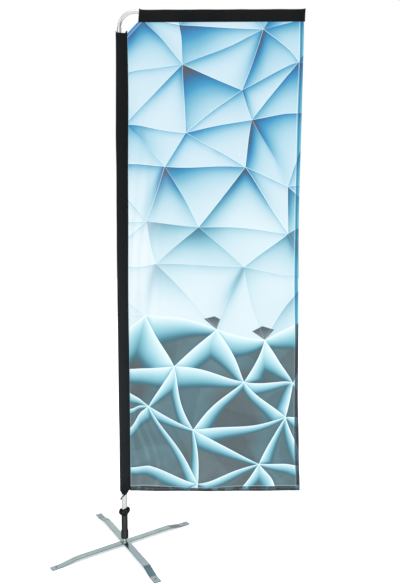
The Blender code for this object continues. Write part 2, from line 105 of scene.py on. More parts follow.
def flag_bottom(x):
    return FLAG_BOTTOM - 0.003 * np.sin(math.pi * np.clip(x, 0, 1) * 1.25)


# ---------------------------------------------------------------- camera
def make_camera():
    yaw, pitch, roll = math.radians(-0.419), math.radians(4.219), math.radians(-0.079)
    forward = Vector((math.sin(yaw) * math.cos(pitch), math.cos(yaw) * math.cos(pitch), -math.sin(pitch)))
    right = Vector((math.cos(yaw), -math.sin(yaw), 0))
    up = right.cross(forward)
    r2 = right * math.cos(roll) + up * math.sin(roll)
    u2 = up * math.cos(roll) - right * math.sin(roll)
    data = bpy.data.cameras.new("camera")
    data.sensor_fit = "AUTO"
    data.sensor_width = 36.0
    data.lens = 590.0 / 584.0 * 36.0
    data.clip_end = 60.0
    obj = bpy.data.objects.new("camera", data)
    bpy.context.scene.collection.objects.link(obj)
    turn = Matrix((r2, u2, -forward)).transposed().to_4x4()
    obj.matrix_world = Matrix.Translation((0.4612, -3.2972, 1.7100)) @ turn
    bpy.context.scene.camera = obj


make_camera()


# ---------------------------------------------------------------- node helpers
def lin(r, g, b):
    """An sRGB colour, 0 to 255, as linear light."""
    out = []
    for c in (r, g, b):
        c = c / 255
        out.append(c / 12.92 if c <= 0.04045 else ((c + 0.055) / 1.055) ** 2.4)
    return tuple(out)


class Paint:
    """A material's node tree, with short ways to add nodes."""

    def __init__(self, name, roughness=0.5, metallic=0.0, **uniform):
        self.mat = bpy.data.materials.new(name)
        self.mat.use_nodes = True
        self.tree = self.mat.node_tree
        self.shader = self.tree.nodes["Principled BSDF"]
        self.shader.inputs["Roughness"].default_value = roughness
        self.shader.inputs["Metallic"].default_value = metallic
        for key, value in uniform.items():
            self.shader.inputs[key.replace("_", " ")].default_value = value
        self.where = self.tree.nodes.new("ShaderNodeTexCoord").outputs["Object"]

    def link(self, a, b):
        self.tree.links.new(a, b)

    def node(self, kind, inputs=(), **props):
        made = self.tree.nodes.new(kind)
        for key, value in props.items():
            setattr(made, key, value)
        for key, value in dict(inputs).items():
            if isinstance(value, bpy.types.NodeSocket):
                self.link(value, made.inputs[key])
            else:
                made.inputs[key].default_value = value
        return made

    def math(self, op, a, b=0.0, c=0.0, clamp=False):
        made = self.node("ShaderNodeMath", {0: a, 1: b, 2: c}, operation=op, use_clamp=clamp)
        return made.outputs[0]

    def remap(self, value, a, b, c=0.0, d=1.0, smooth=True):
        made = self.node(
            "ShaderNodeMapRange",
            {"Value": value, "From Min": a, "From Max": b, "To Min": c, "To Max": d},
            interpolation_type="SMOOTHSTEP" if smooth else "LINEAR",
        )
        return made.outputs["Result"]

    def stretch(self, scale):
        return self.node("ShaderNodeMapping", {"Vector": self.where, "Scale": scale}).outputs[0]

    def noise(self, scale, detail=3.0, rough=0.5, where=None, distortion=0.0):
        made = self.node(
            "ShaderNodeTexNoise",
            {"Vector": where or self.where, "Scale": scale, "Detail": detail, "Roughness": rough, "Distortion": distortion},
        )
        return made.outputs["Fac"]

    def wave(self, direction, scale, distortion=0.0, where=None):
        made = self.node(
            "ShaderNodeTexWave",
            {"Vector": where or self.where, "Scale": scale, "Distortion": distortion, "Detail": 1.0},
            wave_type="BANDS",
            bands_direction=direction,
            wave_profile="SIN",
        )
        return made.outputs["Fac"]

    def mix(self, factor, a, b, blend="MIX"):
        made = self.tree.nodes.new("ShaderNodeMix")
        made.data_type = "RGBA"
        made.blend_type = blend
        slots = {"factor": made.inputs[0], "a": made.inputs[6], "b": made.inputs[7]}
        for key, value in (("factor", factor), ("a", a), ("b", b)):
            if isinstance(value, bpy.types.NodeSocket):
                self.link(value, slots[key])
            elif key == "factor":
                slots[key].default_value = value
            else:
                slots[key].default_value = (*value[:3], 1.0)
        return made.outputs[2]

    def ramp(self, value, stops):
        made = self.tree.nodes.new("ShaderNodeValToRGB")
        self.link(value, made.inputs[0])
        line = made.color_ramp
        line.interpolation = "LINEAR"
        while len(line.elements) < len(stops):
            line.elements.new(0.5)
        for element, (place, colour) in zip(line.elements, stops):
            element.position = place
            element.color = (*colour, 1.0)
        return made.outputs["Color"]

    def colour(self, value):
        self.link(value, self.shader.inputs["Base Color"])

    def rough(self, value):
        self.link(value, self.shader.inputs["Roughness"])

    def bump(self, height, distance, strength=1.0):
        last = self.shader.inputs["Normal"]
        inputs = {"Height": height, "Distance": distance, "Strength": strength}
        if last.is_linked:
            inputs["Normal"] = last.links[0].from_socket
        made = self.node("ShaderNodeBump", inputs)
        self.link(made.outputs[0], last)


# ---------------------------------------------------------------- materials
def weave(paint, pitch, depth, across="X", along="Z", strength=0.5):
    """Two crossed sets of yarns, pitch metres apart."""
    k = 1 / pitch / 3.1831 * 0.5
    a = paint.wave(across, k)
    b = paint.wave(along, k)
    both = paint.math("MULTIPLY", a, b)
    paint.bump(both, depth, strength)
    return both


def zinc_material():
    p = Paint("zinc_plate", roughness=0.2, metallic=1.0)
    cloud = p.noise(14.0, 4.0, 0.55)
    drawn = p.noise(300.0, 2.0, 0.5, where=p.stretch((1.0, 1.0, 0.2)))
    base = p.mix(p.remap(cloud, 0.3, 0.7), lin(156, 176, 174), lin(176, 190, 190))
    cast = p.remap(p.noise(3.2, 1.0, 0.5), 0.42, 0.62)
    base = p.mix(p.math("MULTIPLY", cast, 0.55), base, lin(146, 162, 178))
    base = p.mix(p.remap(drawn, 0.4, 0.7, 0.0, 0.10), base, lin(140, 156, 156))
    stain = p.remap(p.noise(9.0, 4.0, 0.65), 0.60, 0.80)
    base = p.mix(p.math("MULTIPLY", stain, 0.22), base, lin(132, 150, 154))
    # painted shade: the bars' sides and eased edges are darker, and a little rougher
    edge = p.node("ShaderNodeAttribute", attribute_name="painted_side_shade").outputs["Fac"]
    base = p.mix(p.math("MULTIPLY", edge, 0.70), base, lin(88, 102, 105))
    # painted shade inside the drilled holes: their walls are near-black
    painted_hole_shade = p.node("ShaderNodeAttribute", attribute_name="painted_hole_shade").outputs["Fac"]
    base = p.mix(painted_hole_shade, base, lin(20, 22, 23))
    p.colour(base)
    p.rough(p.math("ADD", p.remap(cloud, 0.2, 0.8, 0.17, 0.24), p.math("MULTIPLY", edge, 0.10)))
    p.bump(p.noise(420.0, 2.0), 0.00002, 0.4)
    return p.mat


def steel_material(name, tint, low, high):
    p = Paint(name, roughness=(low + high) / 2, metallic=1.0)
    turn = p.noise(900.0, 2.0, 0.5, where=p.stretch((0.06, 0.06, 1.0)))
    p.colour(p.mix(p.remap(turn, 0.3, 0.7), tuple(c * 0.93 for c in tint), tint))
    p.rough(p.remap(p.noise(120.0, 4.0), 0.25, 0.75, low, high))
    p.bump(turn, 0.00003, 0.4)
    return p.mat


def shoulder_material():
    """Polished plating, with a painted reflection: a bright streak facing the eye, dark at both sides."""
    p = Paint("bright_shoulder", roughness=0.08, metallic=1.0)
    turn = p.noise(900.0, 2.0, 0.5, where=p.stretch((0.06, 0.06, 1.0)))
    painted_edge_mask = p.node("ShaderNodeLayerWeight", {0: 0.5}).outputs["Facing"]
    base = p.mix(p.remap(turn, 0.3, 0.7), lin(238, 244, 243), lin(250, 252, 252))
    # painted reflection: the colour darkens towards the edges
    p.colour(p.mix(p.remap(painted_edge_mask, 0.10, 0.55), base, lin(62, 84, 84)))
    p.rough(p.remap(p.noise(120.0, 4.0), 0.25, 0.75, 0.06, 0.10))
    p.bump(turn, 0.00003, 0.4)
    return p.mat


def plastic_material(name, tint, low, high, grain=700.0):
    p = Paint(name, roughness=(low + high) / 2)
    cloud = p.noise(45.0, 4.0, 0.6)
    rub = p.remap(p.noise(150.0, 5.0, 0.7, where=p.stretch((1.0, 1.0, 0.25))), 0.62, 0.82)
    base = p.mix(p.remap(cloud, 0.25, 0.75), tuple(c * 0.85 for c in tint), tuple(c * 1.18 for c in tint))
    p.colour(p.mix(p.math("MULTIPLY", rub, 0.25), base, tuple(min(c * 2.2 + 0.01, 1) for c in tint)))
    p.rough(p.remap(cloud, 0.3, 0.7, low, high))
    p.bump(p.noise(grain, 2.0), 0.00005, 0.6)
    return p.mat


def black_plastic_material():
    """Glossy moulded plastic, a little scuffed."""
    p = Paint("black_plastic", roughness=0.3)
    p.shader.inputs["Specular IOR Level"].default_value = 0.30
    p.shader.inputs["IOR"].default_value = 1.16
    cloud = p.noise(45.0, 4.0, 0.6)
    rub = p.remap(p.noise(150.0, 5.0, 0.7, where=p.stretch((1.0, 1.0, 0.25))), 0.60, 0.80)
    # painted highlight and shade: faces turned to the eye are lighter, more so on the cap and barrel below z 0.182
    # than on the collar, and the edges are painted near-black
    painted_edge_mask = p.node("ShaderNodeLayerWeight", {0: 0.5}).outputs["Facing"]
    height = p.node("ShaderNodeSeparateXYZ", {0: p.where}).outputs[2]
    painted_face_on_tone = p.mix(p.remap(height, 0.182, 0.190), lin(60, 62, 62), lin(36, 37, 38))
    base = p.mix(p.remap(painted_edge_mask, 0.02, 0.50), painted_face_on_tone, lin(5, 6, 6))
    base = p.mix(p.math("MULTIPLY", rub, 0.22), base, lin(92, 94, 94))
    p.colour(p.mix(p.remap(cloud, 0.25, 0.75, 0.0, 0.22), base, lin(8, 9, 9)))
    p.rough(p.remap(cloud, 0.3, 0.7, 0.24, 0.36))
    p.bump(p.noise(700.0, 2.0), 0.00005, 0.6)
    return p.mat


def tube_material():
    """Drawn and clear-anodised aluminium, with faint lines along the tube."""
    p = Paint("anodised_tube", roughness=0.3, metallic=1.0)
    lines = p.noise(520.0, 3.0, 0.6, where=p.stretch((1.0, 1.0, 0.012)))
    cloud = p.noise(22.0, 3.0)
    painted_edge_mask = p.node("ShaderNodeLayerWeight", {0: 0.35}).outputs["Facing"]
    base = p.mix(p.remap(lines, 0.3, 0.7), (0.47, 0.48, 0.475), (0.54, 0.55, 0.545))
    # painted reflection: the colour darkens towards the tube's edges
    p.colour(p.mix(p.remap(painted_edge_mask, 0.06, 0.60), base, p.mix(1.0, base, (0.40, 0.41, 0.41), "MULTIPLY")))
    p.rough(p.math("ADD", p.remap(lines, 0.3, 0.7, 0.20, 0.28), p.remap(cloud, 0.3, 0.7, -0.02, 0.04)))
    p.bump(lines, 0.00003, 0.35)
    return p.mat


def black_cloth_material():
    p = Paint("black_polyester", roughness=0.8, Sheen_Weight=0.03, Sheen_Roughness=0.45, Sheen_Tint=(0.72, 0.84, 1.0, 1.0))
    p.shader.inputs["Specular IOR Level"].default_value = 0.14
    cloud = p.noise(7.0, 4.0, 0.6, where=p.stretch((1.0, 1.0, 0.35)))
    thread = p.noise(650.0, 2.0, 0.5, where=p.stretch((1.0, 1.0, 0.05)))
    base = p.mix(p.remap(cloud, 0.3, 0.7), lin(13, 18, 20), lin(24, 29, 32))
    base = p.mix(p.math("MULTIPLY", p.remap(thread, 0.35, 0.75), 0.25), base, lin(38, 43, 47))
    height = p.node("ShaderNodeSeparateXYZ", {0: p.where}).outputs[2]
    base = p.mix(p.remap(height, 0.9, 2.4), base, p.mix(1.0, base, (0.20, 0.25, 0.28), "MULTIPLY"))
    base = p.mix(p.remap(height, 0.42, 0.32), base, p.mix(1.0, base, (0.35, 0.40, 0.42), "MULTIPLY"))
    p.colour(base)
    p.rough(p.remap(cloud, 0.3, 0.7, 0.66, 0.84))
    weave(p, 0.0011, 0.00012, strength=0.6)
    p.bump(p.noise(28.0, 3.0, 0.5, where=p.stretch((1.0, 1.0, 0.3))), 0.0012, 0.25)
    return p.mat


def elastic_material():
    p = Paint("black_elastic", roughness=0.6, Sheen_Weight=0.03)
    p.shader.inputs["Specular IOR Level"].default_value = 0.15
    braid = p.math("MULTIPLY", p.wave("DIAGONAL", 330.0), p.wave("Z", 300.0))
    p.colour(p.mix(braid, lin(8, 8, 9), lin(22, 23, 25)))
    p.rough(p.remap(braid, 0.0, 1.0, 0.72, 0.5))
    p.bump(braid, 0.0002, 0.8)
    return p.mat


def thread_material():
    p = Paint("sewing_thread", roughness=0.5, Sheen_Weight=0.2)
    twist = p.wave("DIAGONAL", 500.0)
    p.colour(p.mix(twist, lin(10, 12, 14), lin(20, 23, 25)))
    p.rough(p.remap(twist, 0.0, 1.0, 0.6, 0.45))
    p.bump(twist, 0.0001, 0.6)
    return p.mat


def white_thread_material():
    p = Paint("pale_thread", roughness=0.5, Sheen_Weight=0.2)
    twist = p.wave("DIAGONAL", 500.0)
    p.colour(p.mix(twist, lin(150, 205, 225), lin(205, 235, 245)))
    p.rough(p.remap(twist, 0.0, 1.0, 0.6, 0.45))
    p.bump(twist, 0.0001, 0.6)
    return p.mat


def print_material(name, hem=False):
    """Dye-printed knitted polyester. The colours come from the facets' own attributes; the ridge lines and the bands along the facets' edges are worked out from the distances to those edges."""
    p = Paint(name, roughness=0.7, Sheen_Weight=0.12, Sheen_Roughness=0.5)
    p.shader.inputs["Specular IOR Level"].default_value = 0.25

    def attribute(key):
        return p.node("ShaderNodeAttribute", attribute_name=key)

    base = attribute("tone").outputs["Color"]
    near = p.node("ShaderNodeSeparateXYZ", {0: attribute("near").outputs["Vector"]}).outputs
    band = p.node("ShaderNodeSeparateXYZ", {0: attribute("band").outputs["Vector"]}).outputs
    rim = p.node("ShaderNodeSeparateXYZ", {0: attribute("rim").outputs["Vector"]}).outputs
    crease = p.node("ShaderNodeSeparateXYZ", {0: attribute("crease").outputs["Vector"]}).outputs
    zone = attribute("zone").outputs["Fac"]
    lowest = p.math("MINIMUM", p.math("MINIMUM", band[0], band[1]), band[2])
    ramp = p.ramp(
        p.math("DIVIDE", lowest, 1.25, clamp=True),
        [
            (0.00, lin(232, 248, 252)),
            (0.10, lin(206, 236, 243)),
            (0.30, lin(158, 212, 224)),
            (0.50, lin(108, 178, 195)),
            (0.66, lin(58, 130, 150)),
            (0.76, lin(48, 106, 124)),
            (0.86, lin(66, 98, 108)),
            (1.00, lin(82, 101, 107)),
        ],
    )
    lit = p.math("MULTIPLY", zone, p.remap(lowest, 1.20, 0.96))
    base = p.mix(lit, base, ramp)
    # small dark kites that stand on two of the nodes at the lower facets' border
    kite = p.node("ShaderNodeSeparateXYZ", {0: attribute("kite").outputs["Vector"]}).outputs
    aside = p.math("ABSOLUTE", kite[0])
    opening = p.math("SUBTRACT", p.math("MULTIPLY", kite[1], 1.25), aside)
    closing = p.math("SUBTRACT", p.math("SUBTRACT", 0.076, kite[1]), p.math("MULTIPLY", aside, 0.38))
    inside = p.math("MULTIPLY", kite[2], p.remap(p.math("MINIMUM", opening, closing), 0.0, 0.0022))
    slate = p.mix(p.remap(kite[1], 0.01, 0.070), lin(112, 130, 138), lin(70, 88, 96))
    base = p.mix(inside, base, slate)
    base = p.mix(1.0, base, (0.79, 0.76, 0.755), "MULTIPLY")
    drift = p.noise(11.0, 2.0, 0.5)
    dark, soft, light = None, None, None
    for i in range(3):
        d = p.math("MULTIPLY", crease[i], p.remap(near[i], 0.0070, 0.0010))
        w = p.math("MULTIPLY", crease[i], p.math("MULTIPLY", p.remap(near[i], 0.034, 0.0), p.remap(drift, 0.30, 0.70, 0.25, 1.0)))
        l = p.math("MULTIPLY", rim[i], p.remap(near[i], 0.0036, 0.0016))
        dark = d if dark is None else p.math("MAXIMUM", dark, d)
        soft = w if soft is None else p.math("MAXIMUM", soft, w)
        light = l if light is None else p.math("MAXIMUM", light, l)
    base = p.mix(soft, base, p.mix(1.0, base, (0.22, 0.66, 0.84), "MULTIPLY"))
    base = p.mix(dark, base, p.mix(1.0, base, (0.24, 0.56, 0.70), "MULTIPLY"))
    base = p.mix(light, base, lin(224, 240, 246))
    # painted shade where the shade attribute is above zero, painted highlight where it is below, for the cloth's fine
    # folds
    shade = attribute("shade").outputs["Fac"]
    base = p.mix(p.math("MULTIPLY", shade, 1.0, clamp=True), base, p.mix(1.0, base, (0.50, 0.66, 0.72), "MULTIPLY"))
    base = p.mix(p.math("MULTIPLY", shade, -1.0, clamp=True), base, p.mix(0.5, base, lin(206, 236, 244)))
    edge = p.node("ShaderNodeSeparateXYZ", {0: attribute("edge_m").outputs["Vector"]}).outputs
    patch = p.noise(16.0, 3.0, 0.6)
    left = attribute("left_m").outputs["Fac"]
    base = p.mix(p.math("MULTIPLY", p.remap(left, 0.0066, 0.0056), 0.28), base, lin(160, 210, 226))
    # painted shade over the hems' double layer: darkest in the lowest facets, lighter on the side hem's outer half
    # higher up, and broken by lighter patches along the bottom
    deep = p.mix(1.0, base, (0.05, 0.11, 0.15), "MULTIPLY")
    fold = p.mix(zone, p.mix(1.0, base, (0.055, 0.36, 0.50), "MULTIPLY"), deep)
    outer = p.mix(zone, p.mix(1.0, base, (0.20, 0.62, 0.74), "MULTIPLY"), deep)
    lowfold = p.mix(1.0, base, (0.03, 0.07, 0.09), "MULTIPLY")
    lowfold = p.mix(p.remap(patch, 0.54, 0.66), lowfold, p.mix(1.0, base, (0.36, 0.74, 0.84), "MULTIPLY"))
    pale = p.mix(0.6, base, lin(196, 232, 244))
    # a painted highlight where the folded cloth ends, then painted shade over the double layer
    near_side = p.math("MULTIPLY", p.remap(edge[0], 0.0280, 0.0250), p.math("SUBTRACT", 0.60, p.math("MULTIPLY", zone, 0.45)))
    base = p.mix(near_side, base, pale)
    base = p.mix(p.remap(edge[0], 0.0220, 0.0205), base, fold)
    base = p.mix(p.remap(edge[0], 0.0110, 0.0070), base, outer)
    base = p.mix(p.math("MULTIPLY", p.remap(edge[1], 0.0330, 0.0285), 0.30), base, pale)
    base = p.mix(p.remap(edge[1], 0.0262, 0.0240), base, lowfold)
    base = p.mix(p.math("MULTIPLY", p.remap(edge[2], 0.0185, 0.0160), 0.7), base, pale)
    base = p.mix(p.remap(edge[2], 0.0144, 0.0132), base, lin(22, 116, 182))
    fibre = p.noise(900.0, 2.0, 0.6)
    base = p.mix(p.remap(fibre, 0.3, 0.7, 0.0, 0.04), base, (1.0, 1.0, 1.0))
    p.colour(base)
    p.rough(p.remap(p.noise(14.0, 3.0), 0.3, 0.7, 0.62, 0.76))
    weave(p, 0.0012, 0.00008, strength=0.45)
    p.bump(p.noise(9.0, 4.0, 0.55, where=p.stretch((1.0, 1.0, 0.35))), 0.004, 0.16)
    return p.mat


def floor_material():
    p = Paint("studio_floor", roughness=0.85)
    p.colour(p.mix(p.noise(1.5, 3.0), (0.95, 0.95, 0.95), (0.97, 0.97, 0.97)))
    p.shader.inputs["Emission Color"].default_value = (1.0, 1.0, 1.0, 1.0)
    p.shader.inputs["Emission Strength"].default_value = 0.28
    p.rough(p.remap(p.noise(3.0, 2.0), 0.3, 0.7, 0.8, 0.9))
    return p.mat


MAT = {
    "zinc": zinc_material(),
    "bright_shoulder": shoulder_material(),
    "bright_steel": steel_material("bright_steel", lin(206, 214, 212), 0.05, 0.10),
    "bearing_steel": steel_material("bearing_steel", lin(200, 202, 204), 0.10, 0.20),
    "black_plastic": black_plastic_material(),
    "silver_tube": tube_material(),
    "grey_plastic": plastic_material("grey_plastic", lin(112, 114, 116), 0.42, 0.56),
    "print_cloth": print_material("printed_polyester"),
    "hem_cloth": print_material("printed_hem"),
    "black_cloth": black_cloth_material(),
    "elastic": elastic_material(),
    "thread": thread_material(),
    "pale_thread": white_thread_material(),
}


# ---------------------------------------------------------------- mesh helpers
def add_mesh(name, verts, faces, mat, body, replaces=(), smooth=True, sharp=None):
    mesh = bpy.data.meshes.new(name)
    verts = np.asarray(verts, float)
    mesh.from_pydata(verts.tolist(), [], [list(map(int, f)) for f in faces])
    mesh.update()
    mesh.materials.append(MAT[mat])
    if smooth:
        mesh.shade_smooth()
        if sharp:
            mesh.set_sharp_from_angle(angle=math.radians(sharp))
    obj = bpy.data.objects.new(name, mesh)
    bpy.context.scene.collection.objects.link(obj)
    if body:
        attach(obj, body)
    if replaces:
        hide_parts(*replaces)
    return obj


def skin(loops, wrap=False, cap=False):
    """Verts and faces over a row of closed loops with equal counts."""
    loops = [np.asarray(l, float) for l in loops]
    n = len(loops[0])
    verts = np.concatenate(loops)
    faces = []
    rows = len(loops)
    for i in range(rows if wrap else rows - 1):
        a, b = i * n, ((i + 1) % rows) * n
        for j in range(n):
            k = (j + 1) % n
            faces.append((a + j, a + k, b + k, b + j))
    if cap:
        faces.append(tuple(range(n))[::-1])
        faces.append(tuple((rows - 1) * n + j for j in range(n)))
    return verts, faces


def fix_normals(obj):
    bm = bmesh.new()
    bm.from_mesh(obj.data)
    bmesh.ops.recalc_face_normals(bm, faces=bm.faces)
    bm.to_mesh(obj.data)
    bm.free()
    return obj


def rounded(profile, radius, closed=True, steps=3):
    """The (r, z) outline with each corner turned into a small arc."""
    pts = [Vector(p) for p in profile]
    out = []
    n = len(pts)
    for i, q in enumerate(pts):
        if not closed and i in (0, n - 1):
            out.append(tuple(q))
            continue
        p, r = pts[i - 1], pts[(i + 1) % n]
        a, b = p - q, r - q
        cut = min(radius, a.length * 0.45, b.length * 0.45)
        if cut < 1e-5 or abs(a.normalized().dot(b.normalized())) > 0.999:
            out.append(tuple(q))
            continue
        s, e = q + a.normalized() * cut, q + b.normalized() * cut
        for k in range(steps + 1):
            t = k / steps
            out.append(tuple((1 - t) ** 2 * s + 2 * t * (1 - t) * q + t * t * e))
    return out


def lathe(name, profile, mat, body, replaces, steps=72, radius=0.0005, on_axis=False, lift=None, arc=3):
    """A turned piece. A closed (r, z) outline, or one that starts and ends on the axis."""
    line = rounded(profile, radius, closed=not on_axis, steps=arc)
    body_line = line[1:-1] if on_axis else line
    loops = []
    for k in range(steps):
        a = 2 * math.pi * k / steps
        loops.append([(r * math.cos(a), r * math.sin(a), z + (lift(r, z, a) if lift else 0.0)) for r, z in body_line])
    m = len(body_line)
    verts = np.concatenate([np.array(l) for l in loops])
    faces = []
    for k in range(steps):
        a, b = k * m, ((k + 1) % steps) * m
        for j in range(m if not on_axis else m - 1):
            i = (j + 1) % m
            faces.append((a + j, b + j, b + i, a + i))
    if on_axis:
        verts = np.concatenate([verts, [(0, 0, line[0][1])], [(0, 0, line[-1][1])]])
        first, last = len(verts) - 2, len(verts) - 1
        for k in range(steps):
            a, b = k * m, ((k + 1) % steps) * m
            faces.append((first, b, a))
            faces.append((a + m - 1, b + m - 1, last))
    obj = add_mesh(name, verts, faces, mat, body, replaces, sharp=38)
    return fix_normals(obj)


def sweep(points, radius, sides, closed_ends=True, radii=None, start_up=(0, 0, 1)):
    """A round tube along points, with its frame carried along."""
    pts = [Vector(p) for p in points]
    loops, up = [], Vector(start_up)
    for i, p in enumerate(pts):
        along = (pts[min(i + 1, len(pts) - 1)] - pts[max(i - 1, 0)]).normalized()
        side = along.cross(up)
        if side.length < 1e-6:
            side = along.orthogonal()
        side.normalize()
        up = side.cross(along).normalized()
        r = radii[i] if radii else radius
        loops.append([
            p + r * (math.cos(2 * math.pi * k / sides) * side + math.sin(2 * math.pi * k / sides) * up)
            for k in range(sides)
        ])
    return skin([[tuple(v) for v in l] for l in loops], cap=closed_ends)


def apply_modifiers(obj):
    graph = bpy.context.evaluated_depsgraph_get()
    mesh = bpy.data.meshes.new_from_object(obj.evaluated_get(graph), depsgraph=graph)
    obj.modifiers.clear()
    old = obj.data
    obj.data = mesh
    mesh.name = obj.name
    bpy.data.meshes.remove(old)
    return obj


# ---------------------------------------------------------------- cross base
def bar_path(base_z):
    """Half of a bar's underside as (distance from the pivot, height), with both bends rounded."""
    bend = 0.006
    points = [(0.0, base_z), (BAR_RISE, base_z), (BAR_FOOT, 0.0), (BAR_TIP, 0.0)]
    line = [points[0]]
    for i in (1, 2):
        p, q, r = (Vector(points[k]) for k in (i - 1, i, i + 1))
        s, e = q + (p - q).normalized() * bend, q + (r - q).normalized() * bend
        for k in range(9):
            t = k / 8
            line.append(tuple((1 - t) ** 2 * s + 2 * t * (1 - t) * q + t**2 * e))
    line.append(points[-1])
    return np.array(line)


def bar(name, base_z, angle, body, node):
    """A flat bar with eased edges, rounded corners and drilled holes, bent along its joggle."""
    half, tip, corner, ease = BAR_W / 2, BAR_TIP, 0.0055, 0.0008
    outline, normals = [], []

    def put(s, y, nx, ny):
        outline.append((s, y))
        normals.append((nx, ny))

    count = 120
    for sx in (1, -1):
        for k in range(count + 1):
            s = sx * (-(tip - corner) + 2 * (tip - corner) * k / count)
            put(s, -sx * half, 0, -sx)
        for k in range(1, 8):
            a = -math.pi / 2 + math.pi / 2 * k / 8
            ca, sa = math.cos(a), math.sin(a)
            put(sx * (tip - corner + corner * ca), sx * (-(half - corner) + corner * sa), sx * ca, sx * sa)
        for k in range(9):
            y = -(half - corner) + 2 * (half - corner) * k / 8
            put(sx * tip, sx * y, sx, 0)
        for k in range(1, 8):
            a = math.pi / 2 * k / 8
            ca, sa = math.cos(a), math.sin(a)
            put(sx * (tip - corner + corner * ca), sx * (half - corner + corner * sa), sx * ca, sx * sa)
    loops = [(np.array(outline), np.array(normals), False)]
    for x, r in ((-PEG_R, PEG_HOLE), (0.0, PIVOT_HOLE), (PEG_R, PEG_HOLE)):
        a = 2 * math.pi * np.arange(36) / 36
        ring = np.stack([np.cos(a), np.sin(a)], 1)
        loops.append((ring * r + (x, 0), -ring, True))

    # top and bottom faces: the outline moved in by the eased edge, filled with a lattice
    flat_pts, edges, sizes = [], [], []
    for pts, nrm, hole in loops:
        start = len(flat_pts)
        inner = pts - nrm * ease
        flat_pts += [tuple(p) for p in inner]
        n = len(inner)
        edges += [(start + i, start + (i + 1) % n) for i in range(n)]
        sizes.append((start, n))
    rim_count = len(flat_pts)
    for s in np.arange(-tip + 0.006, tip - 0.005, 0.0075):
        for y in np.arange(-half + 0.005, half - 0.004, 0.0075):
            if all(math.hypot(s - x, y) > r + 0.004 for x, r in ((-PEG_R, PEG_HOLE), (0, PIVOT_HOLE), (PEG_R, PEG_HOLE))):
                if not (abs(s) > tip - 0.008 and abs(y) > half - 0.008):
                    flat_pts.append((s, y))
    out = delaunay_2d_cdt([Vector(p) for p in flat_pts], edges, [list(range(sizes[0][0], sizes[0][0] + sizes[0][1]))], 1, 1e-6, True)
    v2 = np.array([tuple(v) for v in out[0]])
    orig = out[3]
    faces2 = []
    for f in out[2]:
        c = v2[list(f)].mean(0)
        if all(math.hypot(c[0] - x, c[1]) > (r + ease) * 0.985 for x, r in ((-PEG_R, PEG_HOLE), (0, PIVOT_HOLE), (PEG_R, PEG_HOLE))):
            faces2.append(tuple(f))
    back = {}
    for i, o in enumerate(orig):
        for k in o:
            back[k] = i

    # rings down each rim
    # per-point masks for the zinc's painted shade: one over every side and eased edge, one over the walls of the holes
    verts, painted_side_shade, painted_hole_shade = [], [], []

    def level(points2, t):
        start = len(verts)
        for s, y in points2:
            verts.append((s, y, t))
        return start

    top = level(v2, BAR_T)
    bottom = level(v2, 0.0)
    painted_side_shade += [0.0] * len(verts)
    painted_hole_shade += [0.0] * len(verts)
    faces = [tuple(top + i for i in f) for f in faces2]
    faces += [tuple(bottom + i for i in reversed(f)) for f in faces2]
    for (pts, nrm, hole), (start, n) in zip(loops, sizes):
        rows = [[top + back[start + i] for i in range(n)]]
        arcs = [(0.30, 0.05), (0.70, 0.30), (1.0, 1.0)]
        heights = [(o, BAR_T - ease * d) for o, d in arcs] + [(o, ease * d) for o, d in reversed(arcs)]
        for o, t in heights:
            ring = pts - nrm * ease * (1 - o)
            a = level(ring, t)
            painted_side_shade += [1.0] * n
            painted_hole_shade += [1.0 if hole else 0.0] * n
            rows.append(list(range(a, a + n)))
        rows.append([bottom + back[start + i] for i in range(n)])
        for a, b in zip(rows, rows[1:]):
            for i in range(n):
                k = (i + 1) % n
                faces.append((a[i], a[k], b[k], b[i]))
    verts = np.array(verts)

    # bend: (distance, across, thickness) to the joggled line
    line = bar_path(base_z)
    fine = np.linspace(0, BAR_TIP, 600)
    seg = np.concatenate([[0], np.cumsum(np.hypot(*np.diff(line, axis=0).T))])
    total = seg[-1]
    s_abs = np.abs(verts[:, 0]) / BAR_TIP * total
    px = np.interp(s_abs, seg, line[:, 0])
    pz = np.interp(s_abs, seg, line[:, 1])
    h = 0.0025
    dx = np.interp(s_abs + h, seg, line[:, 0]) - np.interp(s_abs - h, seg, line[:, 0])
    dz = np.interp(s_abs + h, seg, line[:, 1]) - np.interp(s_abs - h, seg, line[:, 1])
    inside = (s_abs > h) & (s_abs < total - h)
    dx, dz = np.where(inside, dx, 1.0), np.where(inside, dz, 0.0)
    size = np.hypot(dx, dz)
    nx, nz = -dz / size, dx / size
    sign = np.sign(verts[:, 0])
    x = sign * (px + nx * verts[:, 2])
    z = pz + nz * verts[:, 2]
    a = math.radians(angle)
    wx = x * math.cos(a) - verts[:, 1] * math.sin(a)
    wy = x * math.sin(a) + verts[:, 1] * math.cos(a)
    obj = add_mesh(name, np.stack([wx, wy, z], 1), faces, "zinc", body, (node,), sharp=50)
    fix_normals(obj)
    attribute = obj.data.attributes.new("painted_side_shade", "FLOAT", "POINT")
    attribute.data.foreach_set("value", np.array(painted_side_shade, np.float32))
    attribute = obj.data.attributes.new("painted_hole_shade", "FLOAT", "POINT")
    attribute.data.foreach_set("value", np.array(painted_hole_shade, np.float32))
    return obj


bar("upper_leg_bar", UPPER_Z, UPPER_ANGLE, "base", "upper_cross_bar")
bar("lower_leg_bar", LOWER_Z, LOWER_ANGLE, "lower_bar", "lower_cross_bar")

